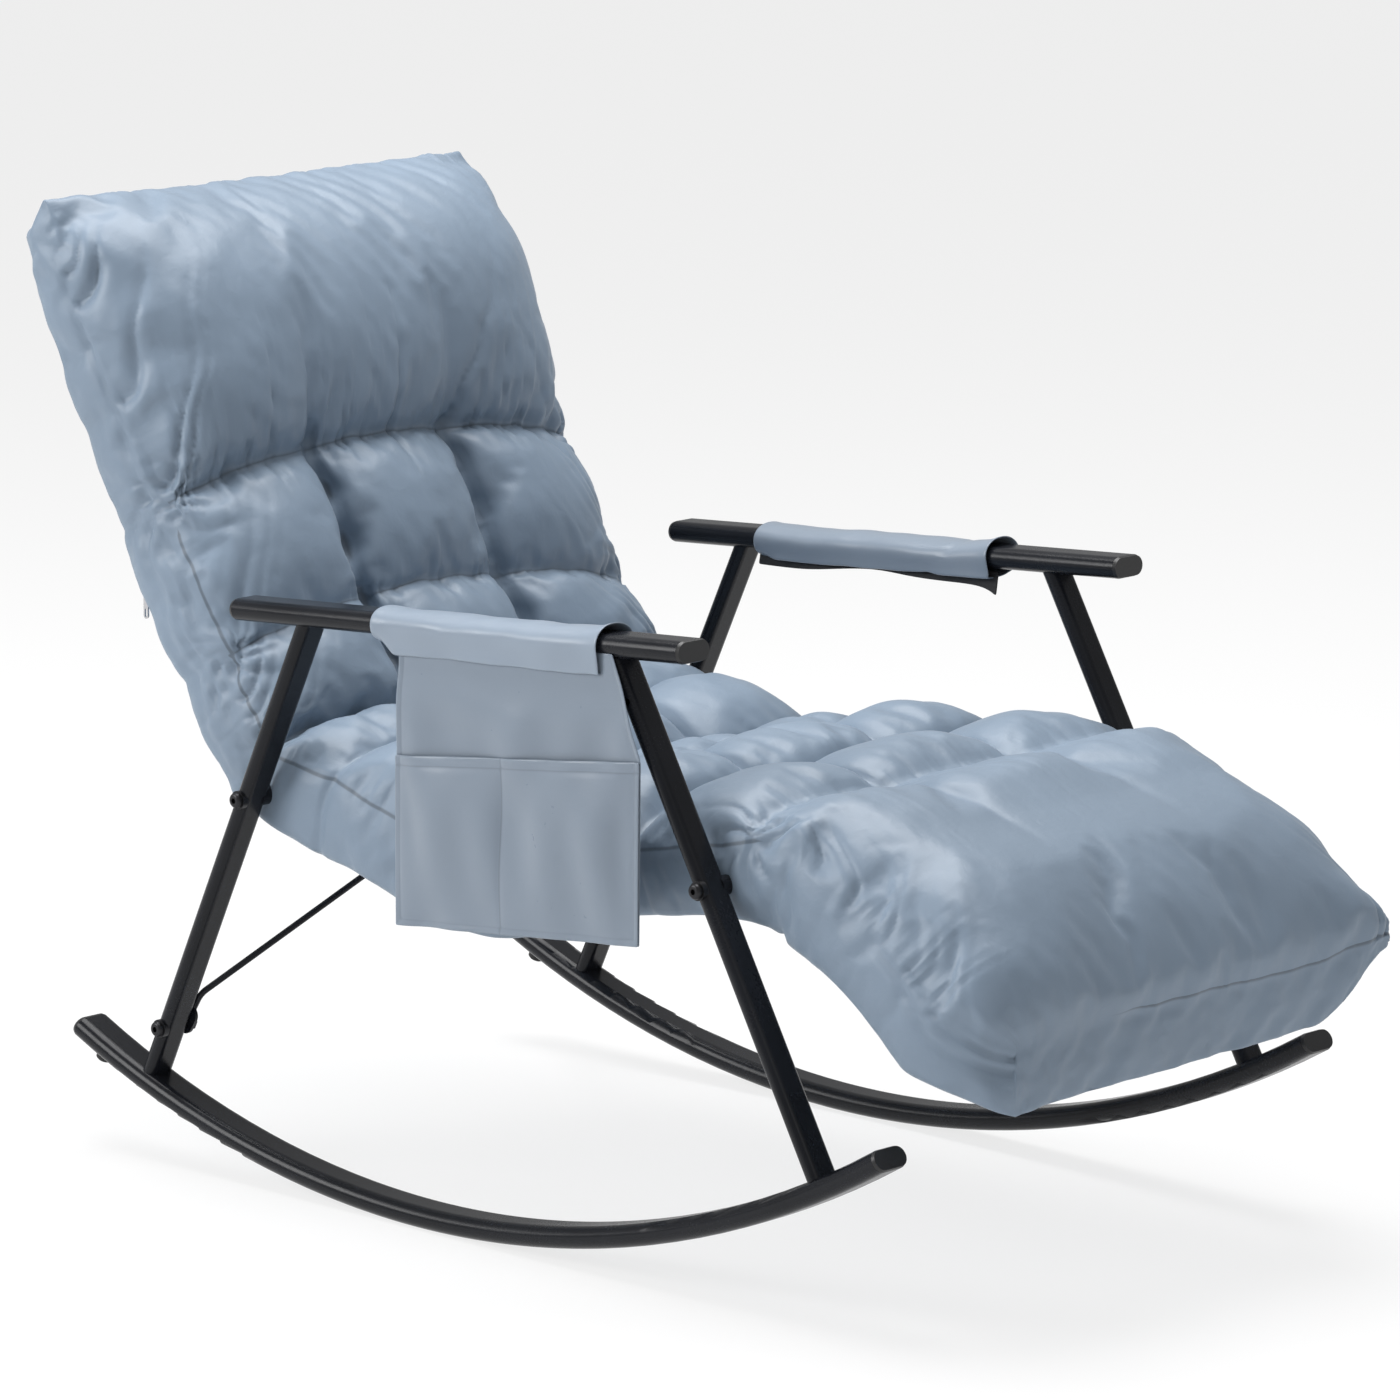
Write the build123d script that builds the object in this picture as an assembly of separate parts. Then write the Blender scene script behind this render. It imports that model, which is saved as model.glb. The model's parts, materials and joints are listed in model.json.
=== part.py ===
from build123d import *
from math import atan2, cos, degrees, hypot, radians, sin, tan
import os

# Reclining rocking chair. Sizes are in millimetres and degrees. The chair is drawn level, with x forward,
# y to the sitter's left, z up and the lowest point of the rockers at x = 0, z = 0. It is then rolled back
# on its rockers to the pose in which it stands.

# Stance
rest_roll = 3.3

# Side frames, bent from flat-oval tube with its long side across the chair
frame_spacing = 570.0
rail_width = 40.0
rail_height = 20.0
post_width = 30.0
post_height = 15.0
tube_wall = 1.5
rocker_radius = 1089.0
rocker_heel = 28.0
rocker_toe = 27.3
arm_level = 546.0
arm_rear_x = -262.0
arm_length = 553.0
foot_x = 422.0
rear_post_top_x = -174.0
front_post_top_x = 203.0
cap_thickness = 3.0
cap_plug = 12.0
stop_pad_diameter = 17.0
stop_pad_height = 9.0
stop_pad_inset = 1.5
dimple_diameter = 7.0
dimple_drop = 52.0

# Folding frame inside the mattress
back_hinge = (-297.0, 381.0)
seat_valley = (13.0, 276.0)
leg_hinge = (370.0, 358.5)
back_lean = 25.6
leg_drop = 41.3
inner_tube = 19.0
inner_wall = 1.2
inner_spacing = 476.0
valley_radius = 233.0
fixed_tube_gap = 23.0
moving_tube_gap = 45.0
back_frame_length = 535.0
leg_frame_length = 235.0
corner_radius = 60.0
cross_tube = 16.0
rear_cross_offset = 62.0
front_cross_offset = 95.0
lumbar_cross_offset = 130.0
strap_width = 45.0
strap_thickness = 2.0
strap_lift = 0.2
seat_strap_stations = (110.0, 178.0, 238.0, 410.0, 475.0, 540.0)
back_strap_stations = (95.0, 190.0, 280.0, 370.0, 450.0)
leg_strap_stations = (85.0, 135.0)

# Ratchet hinges
leaf_thickness = 3.0
leaf_gap = 0.3
fork_thickness = 2.5
fork_radius = 21.0
fork_neck = 20.0
ratchet_root = 15.0
ratchet_tip = 17.8
ratchet_teeth = 12
tooth_pitch = 13.0
hinge_pin = 8.0
pin_head = 14.0
pin_head_height = 2.4
pawl_seat = 32.0
pawl_radius = 4.6
pawl_rivet = 4.0
tongue_height = 13.0
tongue_reach = 18.0
running_gap = 0.3
press_gap = 0.1

# Fasteners and brace
bolt_diameter = 8.0
bolt_head = 14.0
bolt_head_height = 5.0
socket_flats = 5.0
washer_diameter = 17.0
washer_thickness = 2.0
nut_flats = 13.0
nut_height = 6.5
spacer_diameter = 18.0
brace_bolt_level = 148.0
brace_rod = 6.0
brace_tab_thickness = 3.0
brace_tab_width = 20.0
brace_tab_length = 30.0
brace_bend = 14.0

# Mattress, in heights above the line of the inner tubes
half_width = 262.0
channel_half_width = 255.0
head_half_width = 274.0
knee_half_width = 261.0
side_draw = 5.0
pillow_fall = 0.2
tuft_offset = 88.0
tuft_depth = 46.0
channel_crest = 62.0
back_bottom = -20.0
rear_depth = -44.0
rear_depth_place = 240.0
rear_radius = 1540.0
rear_padding = 16.5
seat_bottom = -14.0
leg_bottom = -20.0
seam_height_back = 36.0
seam_height_seat = 46.0
head_length = 563.0
head_seam = 285.0
lumbar_seam = 141.0
hinge_margin = 8.0
fold_lean = 31.0
seat_row_count = 5
seat_crests = (84.0, 102.0, 117.0, 117.0, 95.0)
back_crest = 90.0
head_crest = 110.0
knee_radius = 60.0
knee_clearance = 1.2
knee_back_angle = 134.7
knee_scoop_angle = 174.0
knee_undercut = 24.0
leg_crest = 107.0
leg_end = (600.0, 183.0)
leg_end_height = 56.0
recess_half_width = 248.5
recess_ceiling = 12.0
hub_clearance = 32.0
panel_thickness = 1.5
panel_margin = 0.3

# Arm covers and side pocket
cover_slack = 2.4
cover_clearance = 0.2
cover_ease = 0.6
cover_thickness = 1.6
right_cover_x = -79.0
left_cover_x = -160.0
cover_length = 316.0
cover_flap = 15.0
cover_notch = 2.0
pocket_rear_x = -46.0
pocket_width = 302.0
pocket_drop = 252.0
pocket_slant = 9.0
pocket_mouth_drop = 97.0
pocket_divider = 0.45
pocket_depth = 9.0
pocket_ripple = 3.0
pocket_seam = 3.0
cloth_thickness = 1.6

# Zip on the rear edge of the back
zip_station = 205.0
zip_slider_length = 11.0
zip_slider_width = 7.0
zip_slider_height = 4.5
zip_pull_length = 26.0
zip_pull_width = 6.0
zip_pull_thickness = 1.6

# Path of the inner frame, from the head to the foot: the angle of each stretch above level
side_y = frame_spacing / 2
inner_y = inner_spacing / 2
tube_radius = inner_tube / 2
rocker_line = rocker_radius - rail_height / 2
back_angle = back_lean - 90
rear_angle = degrees(atan2(seat_valley[1] - back_hinge[1], seat_valley[0] - back_hinge[0]))
front_angle = degrees(atan2(leg_hinge[1] - seat_valley[1], leg_hinge[0] - seat_valley[0]))
leg_angle = -leg_drop
rear_reach = hypot(seat_valley[0] - back_hinge[0], seat_valley[1] - back_hinge[1])
front_reach = hypot(leg_hinge[0] - seat_valley[0], leg_hinge[1] - seat_valley[1])
valley_turn = radians(front_angle - rear_angle)
valley_tangent = valley_radius * tan(valley_turn / 2)
valley_arc = valley_radius * valley_turn
seat_length = rear_reach + front_reach - 2 * valley_tangent + valley_arc


def beyond(point, angle, distance, lift=0.0):
    """The point at a distance along an angle in the side view, lifted at right angles to it."""
    x = point[0] + distance * cos(radians(angle)) - lift * sin(radians(angle))
    z = point[1] + distance * sin(radians(angle)) + lift * cos(radians(angle))
    return (x, z)


def seat_station(distance):
    """Place and angle on the seat line, at a distance from the back hinge along the bent tube."""
    straight = rear_reach - valley_tangent
    if distance <= straight:
        return beyond(back_hinge, rear_angle, distance), rear_angle
    turned = (distance - straight) / valley_radius
    if distance >= straight + valley_arc:
        return beyond(leg_hinge, front_angle, distance - seat_length), front_angle
    centre = beyond(back_hinge, rear_angle, straight, valley_radius)
    angle = rear_angle + degrees(turned)
    return beyond(centre, angle, 0, -valley_radius), angle


def across(point, angle, y=0.0):
    """Plane square to a direction in the side view. Its local x runs to the left and its local y upwards."""
    direction = (cos(radians(angle)), 0, sin(radians(angle)))
    return Plane(origin=(point[0], y, point[1]), x_dir=(0, 1, 0), z_dir=direction)


def beside(point, angle, y):
    """Plane of the side view at a width y. Its local x runs along the angle, and it extrudes towards -y."""
    direction = (cos(radians(angle)), 0, sin(radians(angle)))
    return Plane(origin=(point[0], y, point[1]), x_dir=direction, z_dir=(0, -1, 0))


def raised(plane, sketch, amount):
    """A sketch carried off its plane, whichever way its faces were drawn."""
    return extrude(plane * sketch, amount=amount, dir=plane.z_dir)


def plate(sketch, point, angle, y_low, y_high):
    """A flat plate cut to a side-view sketch, between two widths."""
    return raised(beside(point, angle, y_high), sketch, y_high - y_low)


def crosspin(point, diameter, y_low, y_high):
    """A round bar that runs across the chair."""
    return plate(Circle(diameter / 2), point, 0, y_low, y_high)


def straight_bar(start, end, y, sketch):
    """A profile carried from one point of the side view to another."""
    angle = degrees(atan2(end[1] - start[1], end[0] - start[0]))
    return raised(across(start, angle, y), sketch, hypot(end[0] - start[0], end[1] - start[1]))


def bent_path(points, radius):
    """Straight stretches through the points, with every inner corner rounded."""
    points = [Vector(*point) for point in points]
    edges = []
    start = points[0]
    for before, corner, after in zip(points, points[1:], points[2:]):
        inward = (before - corner).normalized()
        outward = (after - corner).normalized()
        half = radians(inward.get_angle(outward)) / 2
        enter = corner + inward * (radius / tan(half))
        leave = corner + outward * (radius / tan(half))
        middle = corner + (inward + outward).normalized() * (radius / sin(half) - radius)
        edges += [Line(start, enter), ThreePointArc(enter, middle, leave)]
        start = leave
    edges.append(Line(start, points[-1]))
    return Wire([edge for line in edges for edge in line.edges()])


def bent_tube(points, radius, diameter, wall=0.0):
    """A round tube, or a bar where it has no wall, swept along a bent path."""
    path = bent_path(points, radius)
    start = Plane(origin=path @ 0, z_dir=path % 0)
    bar = sweep(start * Circle(diameter / 2), path=path)
    if wall:
        bar -= sweep(start * Circle(diameter / 2 - wall), path=path)
    return bar


def side_points(places, y):
    """Side-view places set at one width."""
    return [(x, y, z) for x, z in places]


def crossing(point, end, other, other_end):
    """Where two lines of the side view cross."""
    ax, az = end[0] - point[0], end[1] - point[1]
    bx, bz = other_end[0] - other[0], other_end[1] - other[1]
    share = ((other[0] - point[0]) * bz - (other[1] - point[1]) * bx) / (ax * bz - az * bx)
    return (point[0] + share * ax, point[1] + share * az)


def on_rocker(x):
    """The point of the rocker's centre line above a floor position."""
    return (x, rocker_radius - (rocker_line**2 - x**2) ** 0.5)


def mirrored(shape):
    """The same piece on the other side of the chair."""
    return mirror(shape, about=Plane.XZ)


def both(shape):
    """A piece and its twin on the other side."""
    return [shape, mirrored(shape)]


# Side frame lines
rail_outer = SlotOverall(rail_width, rail_height)
rail_bore = SlotOverall(rail_width - 2 * tube_wall, rail_height - 2 * tube_wall)
post_outer = SlotOverall(post_width, post_height)
post_bore = SlotOverall(post_width - 2 * tube_wall, post_height - 2 * tube_wall)
rear_post_line = (on_rocker(-foot_x), (rear_post_top_x, arm_level))
front_post_line = (on_rocker(foot_x), (front_post_top_x, arm_level))
rear_bolt = crossing(*rear_post_line, back_hinge, seat_valley)
front_bolt = crossing(*front_post_line, seat_valley, leg_hinge)
brace_bolt = crossing(*rear_post_line, (0, brace_bolt_level), (-1, brace_bolt_level))
post_face = side_y - post_width / 2
beyond_all = 2 * frame_spacing
post_back = side_y + post_width / 2
arm_front_x = arm_rear_x + arm_length


def rocker(sketch):
    """A rail profile bent to the rocker's arc."""
    start = beyond((0, rocker_radius), -rocker_heel, 0, -rocker_line)
    turn = Axis((0, 0, rocker_radius), (0, -1, 0))
    sweep = rocker_heel + rocker_toe
    return revolve(across(start, -rocker_heel, side_y) * sketch, axis=turn, revolution_arc=sweep)


def arm(sketch):
    """A rail profile along the armrest."""
    return straight_bar((arm_rear_x, arm_level), (arm_front_x, arm_level), side_y, sketch)


def post(line, bolts):
    """A post whose ends are saddled onto the rocker and the armrest and that is drilled for its bolts."""
    tube = straight_bar(*line, side_y, post_outer) - straight_bar(*line, side_y, post_bore)
    tube = tube - rocker(rail_outer) - arm(rail_outer)
    for bolt in bolts:
        tube -= crosspin(bolt, bolt_diameter + 2 * running_gap, post_face - 1, post_back + 1)
    return tube


def end_cap(point, angle):
    """A moulded cap with a tapered face outside the tube and a plug inside it."""
    face = across(beyond(point, angle, press_gap), angle, side_y)
    inset = 2 * (tube_wall + press_gap)
    plug = SlotOverall(rail_width - inset, rail_height - inset)
    return extrude(face * rail_outer, amount=cap_thickness, taper=18) + raised(face, plug, -cap_plug)


def stop_pad():
    """A round foot under the rear end of a rocker, which stops the chair from going over."""
    angle = stop_pad_inset - rocker_heel
    seat = beyond((0, rocker_radius), angle, 0, -rocker_radius + 2)
    down = (sin(radians(angle)), 0, -cos(radians(angle)))
    face = Plane(origin=(seat[0], side_y, seat[1]), x_dir=(0, 1, 0), z_dir=down)
    pad = raised(face, Circle(stop_pad_diameter / 2), stop_pad_height + 2)
    pad = chamfer(pad.edges().filter_by(GeomType.CIRCLE).sort_by_distance(face.origin)[-1], 1.5)
    return pad - rocker(rail_outer)


# Folding frame pieces
def seat_tube_places():
    """Ends and corner of a seat side tube in the side view."""
    start = beyond(back_hinge, rear_angle, fixed_tube_gap)
    end = beyond(leg_hinge, front_angle, -fixed_tube_gap)
    return [start, seat_valley, end]


def seat_side_tube():
    """A seat tube bent to the hollow of the seat and drilled for its bolts."""
    tube = bent_tube(side_points(seat_tube_places(), inner_y), valley_radius, inner_tube, inner_wall)
    for bolt in (rear_bolt, front_bolt):
        tube -= crosspin(bolt, bolt_diameter + 2 * running_gap, inner_y - inner_tube, inner_y + inner_tube)
    return tube


def cross_bar(place, diameter, tubes):
    """A tube welded across the chair between two side tubes."""
    bar = crosspin(place, diameter, -inner_y, inner_y)
    bar -= crosspin(place, diameter - 2 * inner_wall, -inner_y, inner_y)
    for tube in tubes:
        bar -= tube
    return bar


def bow(hinge, angle, length, sign):
    """The U-shaped tube of the back or the leg rest. The sign gives its way along the path."""
    start = beyond(hinge, angle, sign * moving_tube_gap)
    end = beyond(hinge, angle, sign * length)
    corners = [(start[0], inner_y, start[1]), (end[0], inner_y, end[1])]
    corners += [(x, -y, z) for x, y, z in reversed(corners)]
    return corners


def strap(place, angle):
    """A flat elastic strap that lies across the tops of the two side tubes."""
    face = across(beyond(place, angle, -strap_width / 2), angle)
    middle = tube_radius + strap_lift + strap_thickness / 2
    return raised(face, Pos(0, middle) * Rectangle(inner_spacing, strap_thickness), strap_width)


# Hinge pieces, drawn on the left side with their local x along the tube they are fixed to
def ratchet_leaf(hinge, tube_way, pawl_way, bolt_distance=None):
    """The fixed leaf: a toothed head and a tongue that goes into the seat tube."""
    inner_radius = tube_radius - inner_wall
    tongue = 2 * ((inner_radius - press_gap) ** 2 - (leaf_thickness / 2) ** 2) ** 0.5
    reach = fixed_tube_gap + 30
    sketch = Circle(ratchet_root) + Pos(reach / 2, 0) * Rectangle(reach, tongue)
    half = tooth_pitch * (ratchet_teeth - 1) / 2
    tooth = Polygon((ratchet_root - 1, -1.7), (ratchet_tip, 0.6), (ratchet_root - 1, 1.7), align=None)
    for index in range(ratchet_teeth):
        sketch += Rot(0, 0, pawl_way - tube_way - half + index * tooth_pitch) * tooth
    sketch -= Circle(hinge_pin / 2 + running_gap)
    if bolt_distance is not None:
        sketch -= Pos(bolt_distance, 0) * Circle(bolt_diameter / 2 + running_gap)
    return plate(sketch, hinge, tube_way, inner_y - leaf_thickness / 2, inner_y + leaf_thickness / 2)


def fork(hinge, way):
    """The moving leaf: two plates on either side of the toothed head, joined by a block inside the tube."""
    reach = moving_tube_gap + tongue_reach
    sketch = Circle(fork_radius) + Pos(moving_tube_gap / 2, 0) * Rectangle(moving_tube_gap - 1, fork_neck)
    sketch += Pos(reach / 2, 0) * Rectangle(reach, tongue_height)
    sketch -= Circle(hinge_pin / 2 + press_gap)
    sketch -= Pos(pawl_seat, 0) * Circle(pawl_rivet / 2 + press_gap)
    near = leaf_thickness / 2 + leaf_gap
    far = near + fork_thickness
    plates = plate(sketch, hinge, way, inner_y + near, inner_y + far)
    plates += plate(sketch, hinge, way, inner_y - far, inner_y - near)
    block = Pos(moving_tube_gap + tongue_reach / 2, 0) * Rectangle(tongue_reach, tongue_height)
    return plates + plate(block, hinge, way, inner_y - near, inner_y + near)


def pawl(hinge, way):
    """The catch between the fork's plates, with its nose at the teeth."""
    nose = Polygon((ratchet_tip + 0.7, -0.8), (ratchet_tip + 0.7, 0.8), (pawl_seat, pawl_radius), (
        pawl_seat, -pawl_radius), align=None)
    rivet_hole = Pos(pawl_seat, 0) * Circle(pawl_rivet / 2 + press_gap)
    sketch = Pos(pawl_seat, 0) * Circle(pawl_radius) + nose - rivet_hole
    half = leaf_thickness / 2 + leaf_gap - press_gap
    return plate(sketch, hinge, way, inner_y - half, inner_y + half)


def headed_pin(place, diameter, head):
    """A rivet with a head on the outside of each fork plate."""
    far = leaf_thickness / 2 + leaf_gap + fork_thickness
    pin = crosspin(place, diameter, inner_y - far, inner_y + far)
    pin += crosspin(place, head, inner_y + far, inner_y + far + pin_head_height)
    return pin + crosspin(place, head, inner_y - far - pin_head_height, inner_y - far)


def hinge_set(hinge, tube_way, moving_way, bolt_distance):
    """All pieces of one left hinge."""
    pins = [headed_pin(hinge, hinge_pin, pin_head)]
    pins.append(headed_pin(beyond(hinge, moving_way, pawl_seat), pawl_rivet, 2 * pawl_rivet))
    leaf = ratchet_leaf(hinge, tube_way, moving_way, bolt_distance)
    return leaf, fork(hinge, moving_way), pawl(hinge, moving_way), pins


# Fasteners
def socket_bolt(place, tip):
    """A button-head bolt from the outside of a post inwards to the width of its tip."""
    seat = post_back + washer_thickness
    bolt = crosspin(place, bolt_diameter, tip, seat + 1)
    dome = crosspin(place, bolt_head, seat, seat + bolt_head_height)
    rim = dome.edges().filter_by(GeomType.CIRCLE).sort_by(Axis.Y)[-1]
    bolt += fillet(rim, bolt_head_height * 0.6)
    socket = RegularPolygon(socket_flats / 2, 6, major_radius=False)
    return bolt - plate(socket, place, 0, seat + bolt_head_height - 3, seat + bolt_head_height + 1)


def saddle_washer(place, post_solid):
    """A washer shaped to the rounded edge of its post."""
    ring = Circle(washer_diameter / 2) - Circle(bolt_diameter / 2 + running_gap)
    return plate(ring, place, 0, post_back - 4, post_back + washer_thickness) - post_solid


def nut(place, y_high, seat_solid):
    """A hexagon nut whose outer face ends at a width, cut to the tube that it sits on."""
    ring = RegularPolygon(nut_flats / 2, 6, major_radius=False) - Circle(bolt_diameter / 2 + press_gap)
    return plate(ring, place, 0, y_high - nut_height, y_high) - seat_solid


def spacer(place, post_solid, tube_solid):
    """A bush between a post and the seat tube, saddled to both."""
    ring = Circle(spacer_diameter / 2) - Circle(bolt_diameter / 2 + running_gap)
    sleeve = plate(ring, place, 0, inner_y + tube_radius / 2, post_face + post_width / 4)
    return sleeve - post_solid - tube_solid


def brace():
    """A thin rod from the foot of a rear post up to the rear cross tube, with its flattened tab."""
    target = seat_station(rear_cross_offset)[0]
    low = brace_bolt
    way = degrees(atan2(target[1] - low[1], target[0] - low[0]))
    outer = post_face
    tab = SlotCenterToCenter(brace_tab_length - brace_tab_width, brace_tab_width)
    tab = Pos((brace_tab_length - brace_tab_width) / 2, 0) * tab - Circle(bolt_diameter / 2 + running_gap)
    tab = plate(tab, low, way, outer - brace_tab_thickness, outer)
    y = outer - brace_rod / 2
    start = beyond(low, way, brace_tab_width / 2)
    bend = beyond(low, way, brace_tab_length + 6)
    end = (target[0], brace_rod / 2 + 0.2, target[1] - cross_tube / 2 - brace_rod / 2)
    rod = bent_tube([(start[0], y, start[1]), (bend[0], y, bend[1]), end], brace_bend, brace_rod)
    eye = crosspin((end[0], end[2]), brace_rod, 0.2, brace_tab_width)
    head = crosspin(low, nut_flats * 1.3, inner_y, outer - brace_tab_thickness)
    return rod + eye + tab - head


# Mattress forms
def pad_section(plane, half, bottom, seam, tuft, crest, fall=0.08):
    """Outline of the mattress across the chair: drawn-in sides and three crowned columns."""
    low = half - side_draw
    edge = half - side_draw / 2
    shoulder = tuft_offset + 0.55 * (edge - tuft_offset)
    outer_crest = crest - fall * (crest - seam)
    outline = [
        Line((-low, bottom), (low, bottom)),
        ThreePointArc((low, bottom), (half, (bottom + seam) / 2), (edge, seam)),
        ThreePointArc((edge, seam), (shoulder, outer_crest), (tuft_offset, tuft)),
        ThreePointArc((tuft_offset, tuft), (0, crest), (-tuft_offset, tuft)),
        ThreePointArc((-tuft_offset, tuft), (-shoulder, outer_crest), (-edge, seam)),
        ThreePointArc((-edge, seam), (-half, (bottom + seam) / 2), (-low, bottom)),
    ]
    return plane * make_face([edge for line in outline for edge in line.edges()])


def back_plane(distance, turn=0.0):
    """Plane across the back, at a distance up from its hinge."""
    return across(beyond(back_hinge, back_angle, -distance), back_angle + turn)


def rear_level(distance):
    """Height of the swelling rear of the back, at a distance up from its hinge."""
    return rear_depth + (distance - rear_depth_place) ** 2 / (2 * rear_radius)


def channel(plane, bottom, seam):
    """Outline at a sewn cross channel, where the mattress is pulled down and in."""
    return pad_section(plane, channel_half_width, bottom, seam - 8, tuft_depth, channel_crest)


def puff(plane, bottom, seam, crest):
    """Outline at the crown of a row of three puffs."""
    return pad_section(plane, half_width, bottom, seam, 0.79 * crest, crest)


def pillow(plane, half, bottom, seam, crest):
    """Outline of a plain pillow, whose crown runs on over the tuft lines."""
    return pad_section(plane, half, bottom, seam, 0.985 * crest, crest, pillow_fall)


def back_cushion():
    """Headrest pillow, two quilted rows, the hollow for the frame and the edge that clears the hinge."""
    end = back_plane(head_length)
    head = [pad_section(end, head_half_width, rear_level(head_length), seam_height_back + 4, 42, 44)]
    for share, lift, wide in ((0.85, 0.75, 1.0), (0.52, 1.0, 0.6), (0.2, 0.89, 0.2)):
        crest = head_crest * lift
        wide = half_width + wide * (head_half_width - half_width)
        place = head_seam + share * (head_length - head_seam)
        head.append(pillow(back_plane(place), wide, rear_level(place), seam_height_back, crest))
    head_end = channel(back_plane(head_seam), rear_level(head_seam), seam_height_back)
    place = (head_seam + lumbar_seam) / 2
    middle = puff(back_plane(place), rear_level(place), seam_height_back, back_crest)
    lumbar = channel(back_plane(lumbar_seam), rear_level(lumbar_seam), seam_height_back)
    place = lumbar_seam * 0.56
    lower = puff(back_plane(place), rear_level(place), seam_height_back, back_crest * 0.93)
    fold = channel(back_plane(hinge_margin, fold_lean), back_bottom, seam_height_back)
    body = loft(head + [head_end])
    body += loft([head_end, middle, lumbar])
    body += loft([lumbar, lower, fold])
    reach = back_frame_length + inner_tube / 2 + 1
    hollow = hollow_block(back_hinge, back_angle, -reach, 2 * hub_clearance)
    return body - hollow - hub(back_hinge)


def hollow_block(point, angle, start, end):
    """The space under a mattress part that holds its frame."""
    height = 120.0
    sketch = Pos(0, recess_ceiling - height / 2) * Rectangle(2 * recess_half_width, height)
    return raised(across(beyond(point, angle, start), angle), sketch, end - start)


def hub(hinge):
    """Clear space round a hinge, between the side walls of the mattress."""
    return crosspin(hinge, 2 * hub_clearance, -recess_half_width, recess_half_width)


def seat_cushion():
    """Five quilted rows that follow the hollow of the seat, scooped at the front for the knee roll."""
    knee = seat_length - knee_radius * 0.75
    pitch = knee / seat_row_count
    body = None
    for row in range(seat_row_count):
        place, angle = seat_station(max(row * pitch, hinge_margin))
        lean = -fold_lean if row == 0 else 0
        first = channel(across(place, angle + lean), seat_bottom, seam_height_seat)
        place, angle = seat_station((row + (0.58 if row == 0 else 0.5)) * pitch)
        middle = puff(across(place, angle), seat_bottom, seam_height_seat, seat_crests[row])
        place, angle = seat_station((row + 1) * pitch)
        last = channel(across(place, angle), seat_bottom, seam_height_seat)
        cells = loft([first, middle, last])
        body = cells if body is None else body + cells
    front = [channel(across(*seat_station(knee)), seat_bottom, seam_height_seat)]
    front.append(channel(across(*seat_station(seat_length - hub_clearance)), seat_bottom, seam_height_seat))
    body += loft(front)
    scoop = Circle(knee_radius + knee_clearance + 2)
    upper_half = Pos(0, beyond_all / 2) * Rectangle(2 * beyond_all, beyond_all)
    scoop &= Rot(0, 0, knee_scoop_angle - 180) * upper_half
    body -= plate(scoop, leg_hinge, 0, -frame_spacing, frame_spacing)
    straight = rear_reach - valley_tangent
    body -= hollow_block(back_hinge, rear_angle, -2 * hub_clearance, straight)
    body -= hollow_block(leg_hinge, front_angle, straight + valley_arc - seat_length, 2 * hub_clearance)
    body -= valley_band(recess_ceiling, -valley_radius, 2 * recess_half_width)
    for place in (rear_bolt, front_bolt):
        body -= crosspin(place, spacer_diameter + 2, -frame_spacing, frame_spacing)
    return body - hub(back_hinge) - hub(leg_hinge)


def valley_band(top, bottom, width):
    """The bent stretch of a layer that follows the hollow of the seat."""
    straight = rear_reach - valley_tangent
    centre = beyond(back_hinge, rear_angle, straight, valley_radius)
    start = beyond(back_hinge, rear_angle, straight)
    sketch = Pos(0, (top + bottom) / 2) * Rectangle(width, top - bottom)
    turn = Axis((centre[0], 0, centre[1]), (0, -1, 0))
    return revolve(across(start, rear_angle) * sketch, axis=turn, revolution_arc=degrees(valley_turn))


def leg_cushion():
    """The knee roll about the hinge, and the long foot pillow with its blunt end."""
    roll = []
    for share in (0.0, 0.35, 0.7, 1.0):
        angle = knee_back_angle - 90 + share * (leg_angle + 90 - knee_back_angle)
        crest = knee_radius - 2 + 16 * share**2
        roll.append(knee_section(across(leg_hinge, angle), 10, crest))
    body = loft(roll)
    stations = [knee_section(across(leg_hinge, leg_angle), leg_bottom, knee_radius + 14)]
    for distance, lift in ((65.0, 0.9), (130.0, 1.0), (195.0, 0.95)):
        plane = across(beyond(leg_hinge, leg_angle, distance), leg_angle)
        stations.append(pillow(plane, knee_half_width + 2, leg_bottom, seam_height_seat, leg_crest * lift))
    end = across(leg_end, -rest_roll)
    crowns = (leg_end_height, leg_end_height + 2, leg_end_height + 3)
    stations.append(pad_section(end, knee_half_width, 0, *crowns))
    body += loft(stations)
    hollow = hollow_block(leg_hinge, leg_angle, -2 * hub_clearance, leg_frame_length + tube_radius + 1)
    body -= hollow & knee_side()
    under = Pos(knee_undercut / 2 - 40, 1 - 40) * Rectangle(knee_undercut + 80, 80)
    return body - hub(leg_hinge) - plate(under, leg_hinge, leg_angle, -frame_spacing, frame_spacing)


def knee_section(plane, bottom, crest):
    """Outline of the roll over the knee, with the tufts of the last seat row still showing."""
    return pad_section(plane, channel_half_width + 2, bottom, 0.72 * crest, 0.9 * crest, crest)


def knee_side():
    """The half space in front of the knee, where the foot pillow has its hollow."""
    return raised(across(leg_hinge, leg_angle), Rectangle(beyond_all, beyond_all), beyond_all)


def cover_panel(point, angle, start, end, level):
    """The cloth that closes the hollow of a straight mattress part."""
    width = 2 * (recess_half_width - panel_margin)
    sketch = Pos(0, level + panel_thickness / 2) * Rectangle(width, panel_thickness)
    return raised(across(beyond(point, angle, start), angle), sketch, end - start)


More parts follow.
